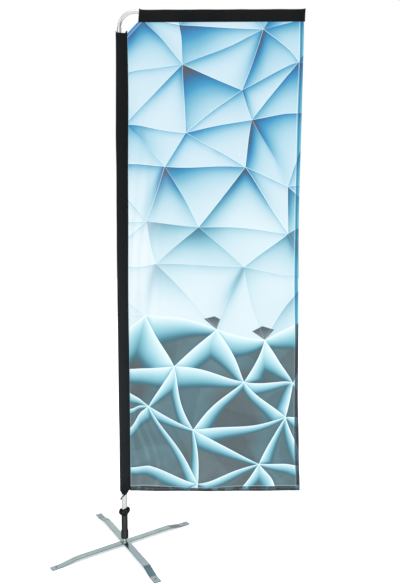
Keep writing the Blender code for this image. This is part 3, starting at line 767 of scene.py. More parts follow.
# ---------------------------------------------------------------- spindle, nut and washer
shaft, shoulder = 0.00585, 0.01185
line = [(0, 0.0), (shaft - 0.0009, 0.0), (shaft - 0.0002, 0.0008)]
z = 0.0012
while z < 0.0185:  # the threaded end
    line += [(shaft - 0.0006, z), (shaft, z + 0.0006)]
    z += 0.00125
line += [
    (shaft - 0.0002, 0.0200),
    (shaft - 0.0002, 0.0253),
    (shoulder - 0.0007, 0.0253),
    (shoulder, 0.0260),
    (shoulder, 0.0456),
    (shoulder - 0.0007, 0.0463),
    (shaft, 0.0463),
    (shaft, 0.1580),
    (0.0052, 0.1580),
    (0.0052, 0.1597),
    (shaft, 0.1597),
    (shaft, 0.1622),
    (shaft - 0.0008, 0.1630),
    (0, 0.1630),
]
lathe("centre_spindle", line, "bright_shoulder", "base", ("spindle",), steps=96, radius=0.00025, on_axis=True, arc=2)


def nut(name, flats, hole, z0, z1, body, node):
    steps = 96
    loops = []
    tall = z1 - z0
    rows = [(0.0, 0), (0.10, 0), (0.22, 0), (0.5, 0), (0.78, 0), (0.90, 0), (1.0, 0)]
    for t, _ in rows:
        z = z0 + tall * t
        reach = flats / 2 * (1.02 + 0.135 * min(t, 1 - t) / 0.22)
        loop = []
        for k in range(steps):
            a = 2 * math.pi * k / steps
            near = (a + math.pi / 6) % (math.pi / 3) - math.pi / 6
            r = min(flats / 2 / math.cos(near), reach)
            loop.append((r * math.cos(a), r * math.sin(a), z))
        loops.append(loop)
    for t, r in ((1.0, hole + 0.0006), (0.94, hole), (0.06, hole), (0.0, hole + 0.0006)):
        z = z0 + tall * t
        loops.append([(r * math.cos(2 * math.pi * k / steps), r * math.sin(2 * math.pi * k / steps), z) for k in range(steps)])
    verts, faces = skin(loops, wrap=True)
    return fix_normals(add_mesh(name, verts, faces, "bright_steel", body, (node,), sharp=30))


nut("hex_nut", 0.019, 0.0062, 0.0012, 0.0112, "base", "spindle_nut")
lathe(
    "flat_washer",
    [(0.0063, 0.0115), (0.0120, 0.0115), (0.0120, 0.0141), (0.0063, 0.0141)],
    "bright_steel", "base", ("nut_washer",), steps=72, radius=0.0004,
)

# ---------------------------------------------------------------- rotator
lathe(
    "rotator_cap",
    [
        (0.01225, 0.0410), (0.0170, 0.0410), (0.0202, 0.0422), (0.0215, 0.0460), (0.0215, 0.0480),
        (0.0212, 0.0486), (0.0212, 0.0494), (0.0215, 0.0500), (0.0215, 0.0830), (0.0205, 0.0870),
        (0.0183, 0.0870), (0.0183, 0.0463), (0.01225, 0.0463),
    ],
    "black_plastic", "rotator", ("rotator_lower_cap",), steps=96, radius=0.0012, arc=4,
)
lathe(
    "rotator_barrel",
    [(0.0180, 0.0466), (0.0180, 0.1895), (0.0143, 0.1895), (0.0143, 0.0466)],
    "black_plastic", "rotator", ("rotator_housing",), steps=96, radius=0.0007,
)


def flared_collar():
    """A rounded ring that stands higher on the right, with a hole through its rim for the cord."""

    def lift(r, z, a):
        return 0.17 * r * math.cos(a) * min(max((r - 0.0190) / 0.0040, 0.0), 1.0)

    obj = lathe(
        "flared_collar",
        [
            (0.0183, 0.1800), (0.0200, 0.1800), (0.0216, 0.1838), (0.0262, 0.1885), (0.0305, 0.1935), (0.0322, 0.1995),
            (0.0322, 0.2065), (0.0306, 0.2120), (0.0270, 0.2150), (0.0238, 0.2145), (0.0222, 0.2100), (0.0200, 0.2088),
            (0.0192, 0.2120), (0.0169, 0.2132), (0.0169, 0.1938), (0.0183, 0.1938),
        ],
        "black_plastic", "rotator", ("hook_collar",), steps=120, radius=0.0022, lift=lift, arc=5,
    )
    verts, faces = sweep([(0.0110, 0.0240, 0.170 + 0.005 * k) for k in range(15)], 0.0035, 32, start_up=(1, 0, 0))
    drill = fix_normals(add_mesh("hole_tool", verts, faces, "black_plastic", None))
    mod = obj.modifiers.new("hole", "BOOLEAN")
    mod.operation = "DIFFERENCE"
    mod.solver = "EXACT"
    mod.object = drill
    bpy.context.view_layer.update()
    apply_modifiers(obj)
    bpy.data.objects.remove(drill, do_unlink=True)
    obj.data.shade_smooth()
    obj.data.set_sharp_from_angle(angle=math.radians(38))
    return obj


flared_collar()

# ---------------------------------------------------------------- poles
lathe(
    "lower_pole_tube",
    [(0.0150, 0.1935), (0.01585, 0.1935), (0.0165, 0.1944), (0.0165, 1.1193), (0.0162, 1.1200), (0.0150, 1.1200)],
    "silver_tube", "pole", ("pole_lower_section",), steps=72, radius=0.0003,
)
lathe(
    "upper_pole_tube",
    [(0.01115, 1.890), (0.01225, 1.890), (0.01225, 2.9043), (0.0119, 2.9050), (0.01115, 2.9050)],
    "silver_tube", "pole", ("pole_upper_section",), steps=72, radius=0.0003,
)


def elbow():
    path = [(0, 0, ELBOW_Z0), (0, 0, 2.83), (0, 0, 2.87), (0, 0, ARM_Z - ELBOW_R)]
    for k in range(1, 33):
        a = math.pi / 2 * k / 32
        path.append((ELBOW_R - ELBOW_R * math.cos(a), 0, ARM_Z - ELBOW_R + ELBOW_R * math.sin(a)))
    path += [(0.12, 0, ARM_Z), (0.20, 0, ARM_Z), (0.300, 0, ARM_Z)]
    outer, _ = sweep(path, ARM_R, 56, start_up=(0, 1, 0))
    inner, _ = sweep(path, ARM_BORE, 56, start_up=(0, 1, 0))
    n = 56
    rows = len(path)
    loops = [outer[i * n:(i + 1) * n] for i in range(rows)] + [inner[i * n:(i + 1) * n] for i in reversed(range(rows))]
    verts, faces = skin(loops, wrap=True)
    return fix_normals(add_mesh("bent_elbow_tube", verts, faces, "silver_tube", "pole", ("elbow_tube",), sharp=40))


elbow()


# ---------------------------------------------------------------- tension cord
def catmull(points, per):
    pts = [Vector(p) for p in points]
    pts = [2 * pts[0] - pts[1]] + pts + [2 * pts[-1] - pts[-2]]
    line = []
    for i in range(1, len(pts) - 2):
        p0, p1, p2, p3 = pts[i - 1:i + 3]
        for k in range(per):
            t = k / per
            line.append(0.5 * (2 * p1 + (p2 - p0) * t + (2 * p0 - 5 * p1 + 4 * p2 - p3) * t**2 + (3 * p1 - p0 - 3 * p2 + p3) * t**3))
    line.append(pts[-2])
    return line


CORD = [
    (0.0030, -0.0205, 0.3020), (-0.0030, -0.0204, 0.2970), (-0.0146, -0.0158, 0.2855), (-0.0216, 0.0, 0.2725),
    (-0.0160, 0.0150, 0.2620), (0.0, 0.0222, 0.2500), (0.0070, 0.0228, 0.2400), (0.0100, 0.0236, 0.2310),
    (0.0110, 0.0240, 0.2240), (0.0110, 0.0240, 0.2170), (0.0110, 0.0240, 0.2060), (0.0110, 0.0240, 0.1960),
    (0.0110, 0.0240, 0.1880),
]
cord_line = catmull(CORD, 8)
lead_in = [Vector((0.0044, -0.0203, 0.3036))]
verts, faces = sweep(lead_in + cord_line, 0.0029, 20)
cord = fix_normals(add_mesh("elastic_cord", verts, faces, "elastic", None, ("tension_cord",)))
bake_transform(cord)
print("cord length", round(sum((b - a).length for a, b in zip(cord_line, cord_line[1:])), 4))

# an overhand knot under the rim: one turn of the cord round itself, with a short tail
knot = []
for k in range(49):
    t = 2 * math.pi * k / 48 * 1.5
    knot.append((0.0110 + 0.0021 * math.cos(t), 0.0240 + 0.0021 * math.sin(t), 0.1838 + 0.0014 * math.sin(1.33 * t)))
knot += [(0.0098, 0.0238, 0.1812), (0.0102, 0.0243, 0.1788), (0.0106, 0.0246, 0.1766)]
verts, faces = sweep(knot, 0.0017, 14, start_up=(0.3, 0.2, 1))
fix_normals(add_mesh("overhand_knot", verts, faces, "elastic", "rotator", ("cord_knot",)))


# ---------------------------------------------------------------- the printed panel
P_W, Q_H = 0.968, FLAG_TOP - FLAG_BOTTOM
CUT_P, CUT_Q = CUT_HIGH[0] - 0.0450, CUT_LOW[1] - FLAG_BOTTOM
OUTLINE = [(0.0, 0.0), (P_W, 0.0), (P_W, Q_H), (CUT_P, Q_H), (0.0, CUT_Q)]


def to_cloth(p, q):
    """From the flat cut (p across, q up) to x, z on the hung flag."""
    z0 = FLAG_BOTTOM + q
    left = sleeve_right(np.minimum(z0, 2.88)) - 0.0030
    x = left + p / P_W * (flag_right(z0) - left)
    low = flag_bottom(x)
    return x, low + q / Q_H * (FLAG_TOP - low)


def ripple(x, z):
    """How far the cloth stands out of its plane, in metres. It is held along the sleeve and along the arm."""
    hold = step(0.036, 0.085, x) * step(2.934, 2.80, z)
    free = step(0.30, 1.0, x)
    y = 0.0042 * np.sin(2.2 * x + 0.5) * np.sin(1.15 * (2.934 - z) + 0.2) * free
    y += 0.0034 * free**2 * np.sin(2 * math.pi * z / 0.86 + 0.9)
    y += 0.0022 * np.exp(-(z - 0.32) / 0.16) * np.sin(2 * math.pi * x / 0.31 + 1.1)
    near = np.exp(-((x - 0.10) / 0.085) ** 2)
    folds = np.sin(2 * math.pi * (x + 0.16 * (z - 0.4)) / 0.034 + 1.6 * np.sin(2.1 * z))
    y += 0.0015 * near * np.exp(-((z - 0.58) / 0.28) ** 2) * folds
    y += 0.0008 * near * np.exp(-((z - 1.55) / 0.50) ** 2) * np.sin(2 * math.pi * (x - 0.10 * (z - 1.3)) / 0.052)
    lines = np.sin(2 * math.pi * (x * 0.5 + (z - 2.0) * 0.12) / 0.11 + 0.8 * np.sin(3 * x))
    y += 0.0009 * lines * np.exp(-((z - 1.6) / 0.9) ** 2) * free
    y += 0.0012 * np.sin(2 * math.pi * (z + 0.55 * x) / 0.23) * step(0.55, 0.35, z) * step(0.15, 0.5, x) * 0.6
    return y * hold


def facet_nodes():
    """A staggered lattice, moved about at random, that reaches past the cloth on every side."""
    rng = random.Random(41)
    nodes = []
    q, row = -0.46, 0
    while q < Q_H + 0.55:
        t = q / Q_H
        gap_p = 0.400 - 0.050 * t
        gap_q = 0.285 - 0.020 * t
        p = -0.50 + (0.5 * gap_p if row % 2 else 0.0)
        while p < P_W + 0.50:
            nodes.append((p + rng.uniform(-0.30, 0.30) * gap_p, q + rng.uniform(-0.30, 0.30) * gap_q))
            p += gap_p
        q += gap_q
        row += 1
    return np.array(nodes)


NODES = facet_nodes()
out = delaunay_2d_cdt([Vector(n) for n in NODES], [], [], 0, 1e-6, True)
TRIS = np.array([f for f in out[2] if len(f) == 3])
NODES = np.array([tuple(v) for v in out[0]])


def kite_nodes():
    """The two nodes best placed for a kite: inside the panel, and near the height where the dark facets begin."""
    reach = [(abs(n[1] + FLAG_BOTTOM - 1.30), i) for i, n in enumerate(NODES) if 0.12 < n[0] < P_W - 0.10]
    return [i for far, i in sorted(reach)[:2] if far < 0.20]


KITES = kite_nodes()


def clip(a, b, polygon):
    """The part of segment a-b inside a convex polygon that runs anticlockwise, or None."""
    t0, t1 = 0.0, 1.0
    d = b - a
    for i in range(len(polygon)):
        p, q = np.array(polygon[i]), np.array(polygon[(i + 1) % len(polygon)])
        e = q - p
        n = np.array((-e[1], e[0]))
        start, rate = n @ (a - p), n @ d
        if abs(rate) < 1e-12:
            if start < 0:
                return None
            continue
        t = -start / rate
        if rate > 0:
            t0 = max(t0, t)
        else:
            t1 = min(t1, t)
    if t1 - t0 < 1e-6:
        return None
    return a + d * t0, a + d * t1


def cut_mesh(polygon, cell):
    """Triangles over the polygon that keep to the facets' edges. Returns points, triangles and each triangle's facet."""
    seen, pts, edges = {}, [], []

    def put(p):
        key = (round(float(p[0]) * 20000), round(float(p[1]) * 20000))
        if key not in seen:
            seen[key] = len(pts)
            pts.append((float(p[0]), float(p[1])))
        return seen[key]

    pairs = set()
    for f in TRIS:
        for i in range(3):
            pairs.add(tuple(sorted((int(f[i]), int(f[(i + 1) % 3])))))
    segments = []
    for a, b in sorted(pairs):
        got = clip(NODES[a], NODES[b], polygon)
        if got is not None and np.hypot(*(got[1] - got[0])) > 1e-4:
            segments.append(got)
    ends = [e for s in segments for e in s]
    for a, b in segments:
        n = max(1, int(round(np.hypot(*(b - a)) / cell)))
        ids = [put(a + (b - a) * k / n) for k in range(n + 1)]
        edges += [(i, j) for i, j in zip(ids, ids[1:]) if i != j]
    border = []
    for i in range(len(polygon)):
        p, q = np.array(polygon[i]), np.array(polygon[(i + 1) % len(polygon)])
        side = q - p
        size = np.hypot(*side)
        marks = [0.0, 1.0]
        for e in ends:
            t = (e - p) @ side / size**2
            if 1e-5 < t < 1 - 1e-5 and np.hypot(*(p + side * t - e)) < 1e-5:
                marks.append(t)
        marks = sorted(marks)
        full = []
        for a, b in zip(marks, marks[1:]):
            if (b - a) * size < 1e-5:
                continue
            n = max(1, int(round((b - a) * size / cell)))
            full += [a + (b - a) * k / n for k in range(n)]
        border += [put(p + side * t) for t in full]
    border = [b for i, b in enumerate(border) if b != border[i - 1]]
    edges += [(border[i], border[(i + 1) % len(border)]) for i in range(len(border))]
    # a lattice in between, kept away from the lines
    lattice = []
    row = 0
    lo, hi = np.min(polygon, 0), np.max(polygon, 0)
    q = lo[1] + cell * 0.5
    while q < hi[1]:
        p = lo[0] + (cell * 0.5 if row % 2 else 0.0)
        while p < hi[0]:
            lattice.append((p, q))
            p += cell
        q += cell * 0.866
        row += 1
    lattice = np.array(lattice)
    keep = np.ones(len(lattice), bool)
    lines = segments + [(np.array(polygon[i]), np.array(polygon[(i + 1) % len(polygon)])) for i in range(len(polygon))]
    for a, b in lines:
        d = b - a
        t = np.clip(((lattice - a) @ d) / (d @ d), 0, 1)
        keep &= np.hypot(*(lattice - a - t[:, None] * d).T) > cell * 0.5
    for i in range(len(polygon)):
        p, q = np.array(polygon[i]), np.array(polygon[(i + 1) % len(polygon)])
        keep &= ((q - p)[0] * (lattice[:, 1] - p[1]) - (q - p)[1] * (lattice[:, 0] - p[0])) > 0
    for p in lattice[keep]:
        put(p)
    made = delaunay_2d_cdt([Vector(p) for p in pts], edges, [border], 1, 1e-6, False)
    points = np.array([tuple(v) for v in made[0]])
    tris = np.array([f for f in made[2] if len(f) == 3])
    area = np.cross(points[tris[:, 1]] - points[tris[:, 0]], points[tris[:, 2]] - points[tris[:, 0]])
    tris[area < 0] = tris[area < 0][:, ::-1]
    tris = tris[np.abs(area) > 1e-9]
    return points, tris, facet_of(points[tris].mean(1))


def facet_of(points):
    best = np.full(len(points), -1)
    score = np.full(len(points), -1e9)
    for i, f in enumerate(TRIS):
        a, b, c = NODES[f]
        d = (b[0] - a[0]) * (c[1] - a[1]) - (b[1] - a[1]) * (c[0] - a[0])
        u = ((points[:, 0] - a[0]) * (c[1] - a[1]) - (points[:, 1] - a[1]) * (c[0] - a[0])) / d
        v = ((b[0] - a[0]) * (points[:, 1] - a[1]) - (b[1] - a[1]) * (points[:, 0] - a[0])) / d
        low = np.minimum(np.minimum(u, v), 1 - u - v)
        take = low > score
        best[take], score[take] = i, low[take]
    return best


def hashed(*keys):
    """A repeatable number from 0 to 1 for whole-number keys."""
    total = np.zeros(np.broadcast(*[np.asarray(k) for k in keys]).shape)
    for i, k in enumerate(keys):
        total = total + (np.asarray(k) + 1) * (12.9898 + 65.233 * i)
    v = np.sin(total) * 43758.5453
    return v - np.floor(v)


def soft_field(p, q, scale, seed):
    """Smooth value noise from 0 to 1."""
    x, y = p / scale, q / scale
    xi, yi = np.floor(x), np.floor(y)
    fx, fy = x - xi, y - yi
    fx, fy = fx * fx * (3 - 2 * fx), fy * fy * (3 - 2 * fy)
    v = [hashed(xi + a, yi + b, np.full(x.shape, seed)) for a in (0, 1) for b in (0, 1)]
    return (v[0] * (1 - fy) + v[1] * fy) * (1 - fx) + (v[2] * (1 - fy) + v[3] * fy) * fx


def ramp_colour(value, stops):
    place = [s[0] for s in stops]
    table = np.array([lin(*s[1]) for s in stops])
    return np.stack([np.interp(value, place, table[:, i]) for i in range(3)], -1)


def print_values(points, facet):
    """Everything the print's shader reads, for points (n, 2) that lie in the given facets."""
    p, q = points[:, 0], points[:, 1]
    z = q + FLAG_BOTTOM
    corner = NODES[TRIS[facet]]
    centre = corner.mean(1)
    light = np.array((-0.42, 0.91))
    low_light = np.array((0.30, 0.954))
    dark = np.zeros(len(points))
    near, band, rim, crease = (np.zeros((len(points), 3)) for _ in range(4))
    # 1 in the lowest facets, which are dark with only their edges lit
    high = centre[:, 1] + FLAG_BOTTOM
    zone = step(1.25, 1.17, high + 0.10 * (hashed(facet, 13) - 0.5))
    force = eased([(1.25, 0.22), (1.55, 0.42), (1.95, 0.56), (2.30, 0.84), (2.9, 1.0)], z)
    wide = eased([(0.35, 0.046), (0.80, 0.054), (1.00, 0.085), (1.18, 0.150), (1.50, 0.200)], z)
    for i in range(3):
        a, b, c = corner[:, i], corner[:, (i + 1) % 3], corner[:, (i + 2) % 3]
        e = (b - a) / np.linalg.norm(b - a, axis=1)[:, None]
        n = np.stack([e[:, 1], -e[:, 0]], 1)
        n *= np.where(((c - a) * n).sum(1) > 0, -1, 1)[:, None]
        d = -((points - a) * n).sum(1)
        near[:, i] = d
        ia, ib = TRIS[facet][:, i], TRIS[facet][:, (i + 1) % 3]
        pair = np.minimum(ia, ib) * 1000 + np.maximum(ia, ib)
        luck = hashed(pair, facet)
        pair_luck = hashed(pair, 7)
        up = (n * light).sum(1)
        # shadow under an edge
        dark += (0.22 + 0.42 * luck) * np.clip(up, 0, 1) ** 0.8 * np.exp(-np.abs(d) / (0.022 + 0.048 * luck))
        # a fan of shadow below a node, and one that hugs a steep fold below its upper end
        away = points - a
        far = np.hypot(away[:, 0], away[:, 1])
        way = (centre - a) / np.linalg.norm(centre - a, axis=1)[:, None]
        down = -(way * light).sum(1)
        deep = hashed(TRIS[facet][:, i], facet, 3)
        dark += (0.15 + 0.62 * deep) * step(0.30, 0.95, down) * np.exp(-(far / (0.085 + 0.085 * deep)) ** 1.3)
        total = np.linalg.norm(b - a, axis=1)
        along = ((points - a) * e).sum(1)
        s_top = np.clip(np.where(a[:, 1] > b[:, 1], along, total - along), 0.0, None)
        hug = np.where(hashed(facet, pair, 2) > 0.40, 0.35 + 0.75 * hashed(pair, facet, 5), 0.0)
        steep = step(0.60, 0.93, np.abs(e[:, 1]))
        dark += hug * steep * np.exp(-(s_top / 0.27) ** 1.6) * np.exp(-(np.abs(d) / (0.008 + 0.18 * s_top)) ** 1.3)
        # a lit band along the underside of an edge
        run = np.clip(np.where(pair_luck > 0.5, along, total - along) / total, 0, 1)
        taper = (0.16 + 0.95 * run**0.85) * np.clip((1 - run) * total / 0.045, 0.10, 1) ** 0.7
        lit = (n * low_light).sum(1) > 0.05
        w = wide * taper * (1.0 + 0.7 * hashed(pair, 19))
        band[:, i] = np.where(lit, np.abs(d) / w, 9.0)
        rim[:, i] = np.where(up > 0, 0.0, 0.70) * (1 - zone) * (0.30 + 0.70 * pair_luck) * (0.4 + 0.6 * step(1.5, 2.1, z)) + zone * np.where(lit, 0.8, 0.0)
        crease[:, i] = np.where(up > 0, 0.50, 0.0) * (1 - zone) * (0.25 + 0.75 * pair_luck) * (0.3 + 0.7 * step(1.4, 2.2, z)) + zone * np.where(lit, 0.0, 0.30)
    kite = np.zeros((len(points), 3))
    tri = TRIS[facet]
    for k in KITES:
        on = (tri == k).any(1)
        kite[on, 0], kite[on, 1], kite[on, 2] = p[on] - NODES[k][0], q[on] - NODES[k][1], 1.0
    cloud = soft_field(p, q, 0.21, 5)
    fine = soft_field(p, q, 0.06, 9)
    dark = np.clip(dark * force * (0.86 + 0.28 * cloud) + 0.05 * (cloud - 0.5), 0, 1.08)
    facet_luck = hashed(facet, 11)
    pale = ramp_colour(
        dark + 0.085 * facet_luck,
        [
            (0.00, (210, 232, 241)), (0.10, (198, 226, 238)), (0.22, (168, 213, 230)), (0.36, (112, 184, 212)),
            (0.52, (44, 152, 198)), (0.68, (16, 124, 178)), (0.84, (26, 100, 148)), (0.98, (62, 84, 112)), (1.15, (76, 80, 92)),
        ],
    )
    mild = ramp_colour(
        dark * 1.5 + 0.10 * facet_luck,
        [
            (0.00, (218, 238, 244)), (0.12, (206, 231, 240)), (0.30, (174, 216, 229)), (0.50, (126, 190, 209)),
            (0.75, (72, 150, 176)), (1.10, (48, 112, 138)),
        ],
    )
    blend = step(1.75, 2.25, z)[:, None]
    upper = mild * (1 - blend) + pale * blend
    white = (step(0.30, 0.05, p) * step(2.3, 1.8, z) * 0.45 + 0.15 * step(1.9, 1.4, z))[:, None]
    upper = upper * (1 - white) + np.array(lin(236, 245, 249)) * white
    slate = np.stack([lin(*(np.array((80, 99, 105)) + 9 * k)) for k in (-1, 0, 1)])
    pick = (facet_luck * 2)[:, None]
    lower = np.where(pick < 1, slate[0] * (1 - pick) + slate[1] * pick, slate[1] * (2 - pick) + slate[2] * (pick - 1))
    smudge = (step(0.45, 0.85, cloud) * 0.55)[:, None]
    lower = lower * (1 - smudge) + np.array(lin(76, 124, 136)) * smudge
    spoke = corner[np.arange(len(points)), (facet_luck * 2.999).astype(int)] - centre
    side = np.sign(spoke[:, 0] * (q - centre[:, 1]) - spoke[:, 1] * (p - centre[:, 0]))
    lower = lower * (0.90 + 0.20 * fine[:, None]) * (1 + 0.09 * side[:, None])
    tone = upper * (1 - zone[:, None]) + lower * zone[:, None]
    # painted shade and painted highlight of the cloth's fine folds: streaks beside the sleeve low down and at mid
    # height, slanting ripples low on the panel, and mottling along the bottom
    x = p + 0.037
    close = np.exp(-((p - 0.07) / 0.10) ** 2)
    folds = np.sin(2 * math.pi * (x + 0.16 * (z - 0.4)) / 0.050 + 0.5 * np.sin(2.1 * z) + 2.2 * soft_field(p, q, 0.30, 23)) * (0.15 + 1.1 * soft_field(p, q, 0.09, 21))
    shade = 0.12 * close * np.exp(-((z - 0.56) / 0.24) ** 2) * folds
    shade = shade + 0.20 * close * np.exp(-((z - 1.70) / 0.45) ** 2) * np.sin(2 * math.pi * (x - 0.10 * (z - 1.3)) / 0.060) * (0.4 + soft_field(p, q, 0.14, 27))
    shade = shade + 0.12 * step(0.62, 0.34, z) * np.sin(2 * math.pi * (p * 0.55 - z * 0.8) / 0.085 + 2.0 * np.sin(5 * p)) * soft_field(p, q, 0.16, 31)
    shade = shade + 0.30 * step(0.375, 0.335, z) * (soft_field(p, q * 1.0, 0.035, 33) - 0.4)
    a, b = np.array(OUTLINE[3]), np.array(OUTLINE[4])
    e = (b - a) / np.linalg.norm(b - a)
    cut = np.abs((points - a) @ np.array((-e[1], e[0])))
    edge = np.stack([P_W - p, q, cut], 1)
    return {"tone": tone, "near": near, "band": band, "rim": rim, "crease": crease, "zone": zone, "edge_m": edge, "left_m": p, "kite": kite, "shade": shade}


def curl(points):
    """Bends the print's straight lines a little, more so lower down, and nowhere on the cut edge."""
    p, q = points[:, 0], points[:, 1]
    inside = step(0.0, 0.09, p) * step(0.0, 0.09, P_W - p) * step(0.0, 0.09, q) * step(0.0, 0.12, Q_H - q)
    inside = inside * step(0.0, 0.1, p + (CUT_Q - q) * 1.0 + 0.0)
    size = 0.009 + 0.013 * step(1.25, 0.75, q)
    dp = size * (np.sin(7.3 * q + 2.1 * p + 0.4) + 0.5 * np.sin(13.1 * q - 5.0 * p))
    dq = size * (np.sin(6.9 * p - 2.7 * q + 1.9) + 0.5 * np.sin(12.1 * p + 4.1 * q))
    return points + (inside * np.stack([dp, dq]) * 0.9).T


def put_attributes(mesh, values):
    for key, value in values.items():
        value = np.asarray(value, np.float32)
        if key == "tone":
            attribute = mesh.attributes.new(key, "FLOAT_COLOR", "CORNER")
            value = np.concatenate([value, np.ones((len(value), 1), np.float32)], 1)
            attribute.data.foreach_set("color", value.ravel())
        elif value.ndim == 2:
            attribute = mesh.attributes.new(key, "FLOAT_VECTOR", "CORNER")
            attribute.data.foreach_set("vector", value.ravel())
        else:
            attribute = mesh.attributes.new(key, "FLOAT", "CORNER")
            attribute.data.foreach_set("value", value.ravel())


def cloth_from(name, polygon, cell, thick, behind, mat, node):
    """A closed thin sheet of the flag's own cloth over part of the cut, standing behind metres back from its face."""
    points, tris, facet = cut_mesh(polygon, cell)
    moved = curl(points)
    x, z = to_cloth(moved[:, 0], moved[:, 1])
    y = ripple(x, z) + behind
    count = len(points)
    front = np.stack([x, y - thick / 2, z], 1)
    back = np.stack([x, y + thick / 2, z], 1)
    faces = [tuple(t) for t in tris]
    faces += [tuple(count + i for i in reversed(t)) for t in tris]
    corners = [points[tris].reshape(-1, 2), points[tris[:, ::-1]].reshape(-1, 2)]
    owners = [np.repeat(facet, 3), np.repeat(facet, 3)]
    # the rim
    half = {}
    for f, t in enumerate(tris):
        for i in range(3):
            half[(int(t[i]), int(t[(i + 1) % 3]))] = f
    rim_pts, rim_own = [], []
    for (a, b), f in half.items():
        if (b, a) not in half:
            faces.append((b, a, count + a, count + b))
            rim_pts += [points[b], points[a], points[a], points[b]]
            rim_own += [facet[f]] * 4
    corners.append(np.array(rim_pts))
    owners.append(np.array(rim_own))
    obj = add_mesh(name, np.concatenate([front, back]), faces, mat, "pole", (node,), sharp=40)
    put_attributes(obj.data, print_values(np.concatenate(corners), np.concatenate(owners)))
    return obj


panel = cloth_from("printed_flag", OUTLINE, 0.0125, 0.0003, 0.0, "print_cloth", "flag_panel")
hem_side = cloth_from(
    "side_fold", [(P_W - HEM_SIDE, HEM_BOTTOM + 0.002), (P_W, HEM_BOTTOM + 0.002), (P_W, Q_H - 0.001), (P_W - HEM_SIDE, Q_H - 0.001)],
    0.0110, 0.0003, 0.0006, "hem_cloth", "side_hem",
)
hem_low = cloth_from(
    "bottom_fold", [(0.006, 0.0), (P_W, 0.0), (P_W, HEM_BOTTOM), (0.006, HEM_BOTTOM)],
    0.0100, 0.0003, 0.0006, "hem_cloth", "bottom_hem",
)
a, b = np.array(OUTLINE[4]), np.array(OUTLINE[3])
along = (b - a) / np.linalg.norm(b - a)
across = np.array((along[1], -along[0])) * 0.014
hem_cut = cloth_from(
    "corner_fold", [tuple(a + along * 0.004), tuple(a + along * 0.014 + across), tuple(b - along * 0.018 + across), tuple(b - along * 0.004)],
    0.0070, 0.0003, 0.0006, "hem_cloth", "corner_hem",
)


# ---------------------------------------------------------------- sleeve and arm pocket
WALL = 0.0005
FLANGE = 0.0070  # the flat seam where the sleeve is sewn to the panel
SEAM = 0.0010


def sleeve_section(z, inner=False):
    """One round of the sleeve, anticlockwise from above, as rows of x and y."""
    left, right, depth = float(sleeve_left(z)), float(sleeve_right(z)), float(sleeve_depth(z))
    tip = right - FLANGE
    if inner:
        left, depth, tip = left - WALL, depth - WALL, tip - 0.0006
    pts = []
    for k in range(33):
        a = math.pi / 2 + math.pi * k / 32
        pts.append((left * math.cos(a), depth * math.sin(a)))
    h = 0.0004 if inner else SEAM
    side = []
    for k in range(1, 15):
        u = k / 14
        side.append((tip * u, -(h + (depth - h) * math.cos(math.pi / 2 * u) ** 1.05)))
    reach = 0.0003 if inner else FLANGE
    side += [(tip + reach * t, -h) for t in (0.25, 0.6, 0.92)]
    side.append((tip + reach, -h * 0.55))
    pts += side
    pts += [(x, -y) for x, y in reversed(side)]
    return np.array(pts)


def sleeve():
    base = sleeve_section(1.0)
    n = len(base)
    angle = np.arctan2(base[:, 1], base[:, 0])
    levels = [0.0]
    zs = [SLEEVE_Z[0]]
    z = SLEEVE_Z[0]
    while z < SLEEVE_Z[1] - 0.004:
        z += 0.0045 if (z < 0.42 or z > 2.80) else 0.0085
        zs.append(min(z, SLEEVE_Z[1]))
    zs = np.array(zs)

    def rows(inner):
        out = []
        for z in zs:
            sec = sleeve_section(z, inner)
            x, y = sec[:, 0].copy(), sec[:, 1].copy()
            r = np.hypot(x, y)
            a = np.arctan2(y, x)
            body = step(float(sleeve_right(z)) - FLANGE + 0.001, 0.010, x)
            # long soft creases, a few slanting pulls, and gathers at both ends
            d = 0.00050 * np.sin(3 * a + 2.2 * math.sin(1.7 * z) + 0.6) * math.sin(2.3 * z + 0.7)
            d = d + 0.00038 * np.sin(5 * a - 9.0 * z + 1.5 * math.sin(4 * z))
            d = d + 0.00022 * np.sin(9 * a + 21.0 * z)
            low = float(step(0.40, 0.305, z))
            high = float(step(2.78, 2.88, z))
            d = d + low * (0.0009 + 0.0010 * np.sin(11 * a + 1.0) + 0.0004 * np.sin(17 * a + 30 * z))
            d = d + high * (0.0012 * np.sin(5 * a + 2.4) + 0.0004 * np.sin(11 * a + 60 * z))
            close = float(np.exp(-((z - 1.112) / 0.022) ** 2))  # over the joint collar
            d = np.maximum(d * (1 - 0.6 * close) + 0.0003 * close, -0.0006)
            k = 1 + d * body / np.maximum(r, 1e-6)
            x, y = x * k, y * k
            # the hem's edge: raised at both sides below, peaked at the corners above
            t = (z - SLEEVE_Z[0]) / (SLEEVE_Z[1] - SLEEVE_Z[0])
            raised = 0.0215 * np.clip((np.abs(x - 0.0035) - 0.0085) / 0.0170, 0, 1) ** 1.05 * step(0.36, 0.304, z)
            raised = raised + 0.0013 * np.sin(3 * a + 0.5) * step(0.36, 0.304, z)
            right, left = float(sleeve_right(z)), float(sleeve_left(z))
            peak = 0.0135 * np.exp(-((x - right + 0.003) / 0.006) ** 2) + 0.0095 * np.exp(-((x + left) / 0.005) ** 2)
            peak = peak - 0.0035 * np.exp(-((x - 0.008) / 0.010) ** 2) + 0.0012 * np.sin(4 * a)
            zz = z + raised + peak * step(2.82, 2.88, z)
            out.append(np.stack([x, y, zz], 1))
        return out

    outer, inner = rows(False), rows(True)
    loops = outer + inner[::-1]
    verts, faces = skin(loops, wrap=True)
    obj = fix_normals(add_mesh("cloth_sleeve", verts, faces, "black_cloth", "pole", ("pole_sleeve",), sharp=60))
    return obj, outer


sleeve_obj, sleeve_rows = sleeve()


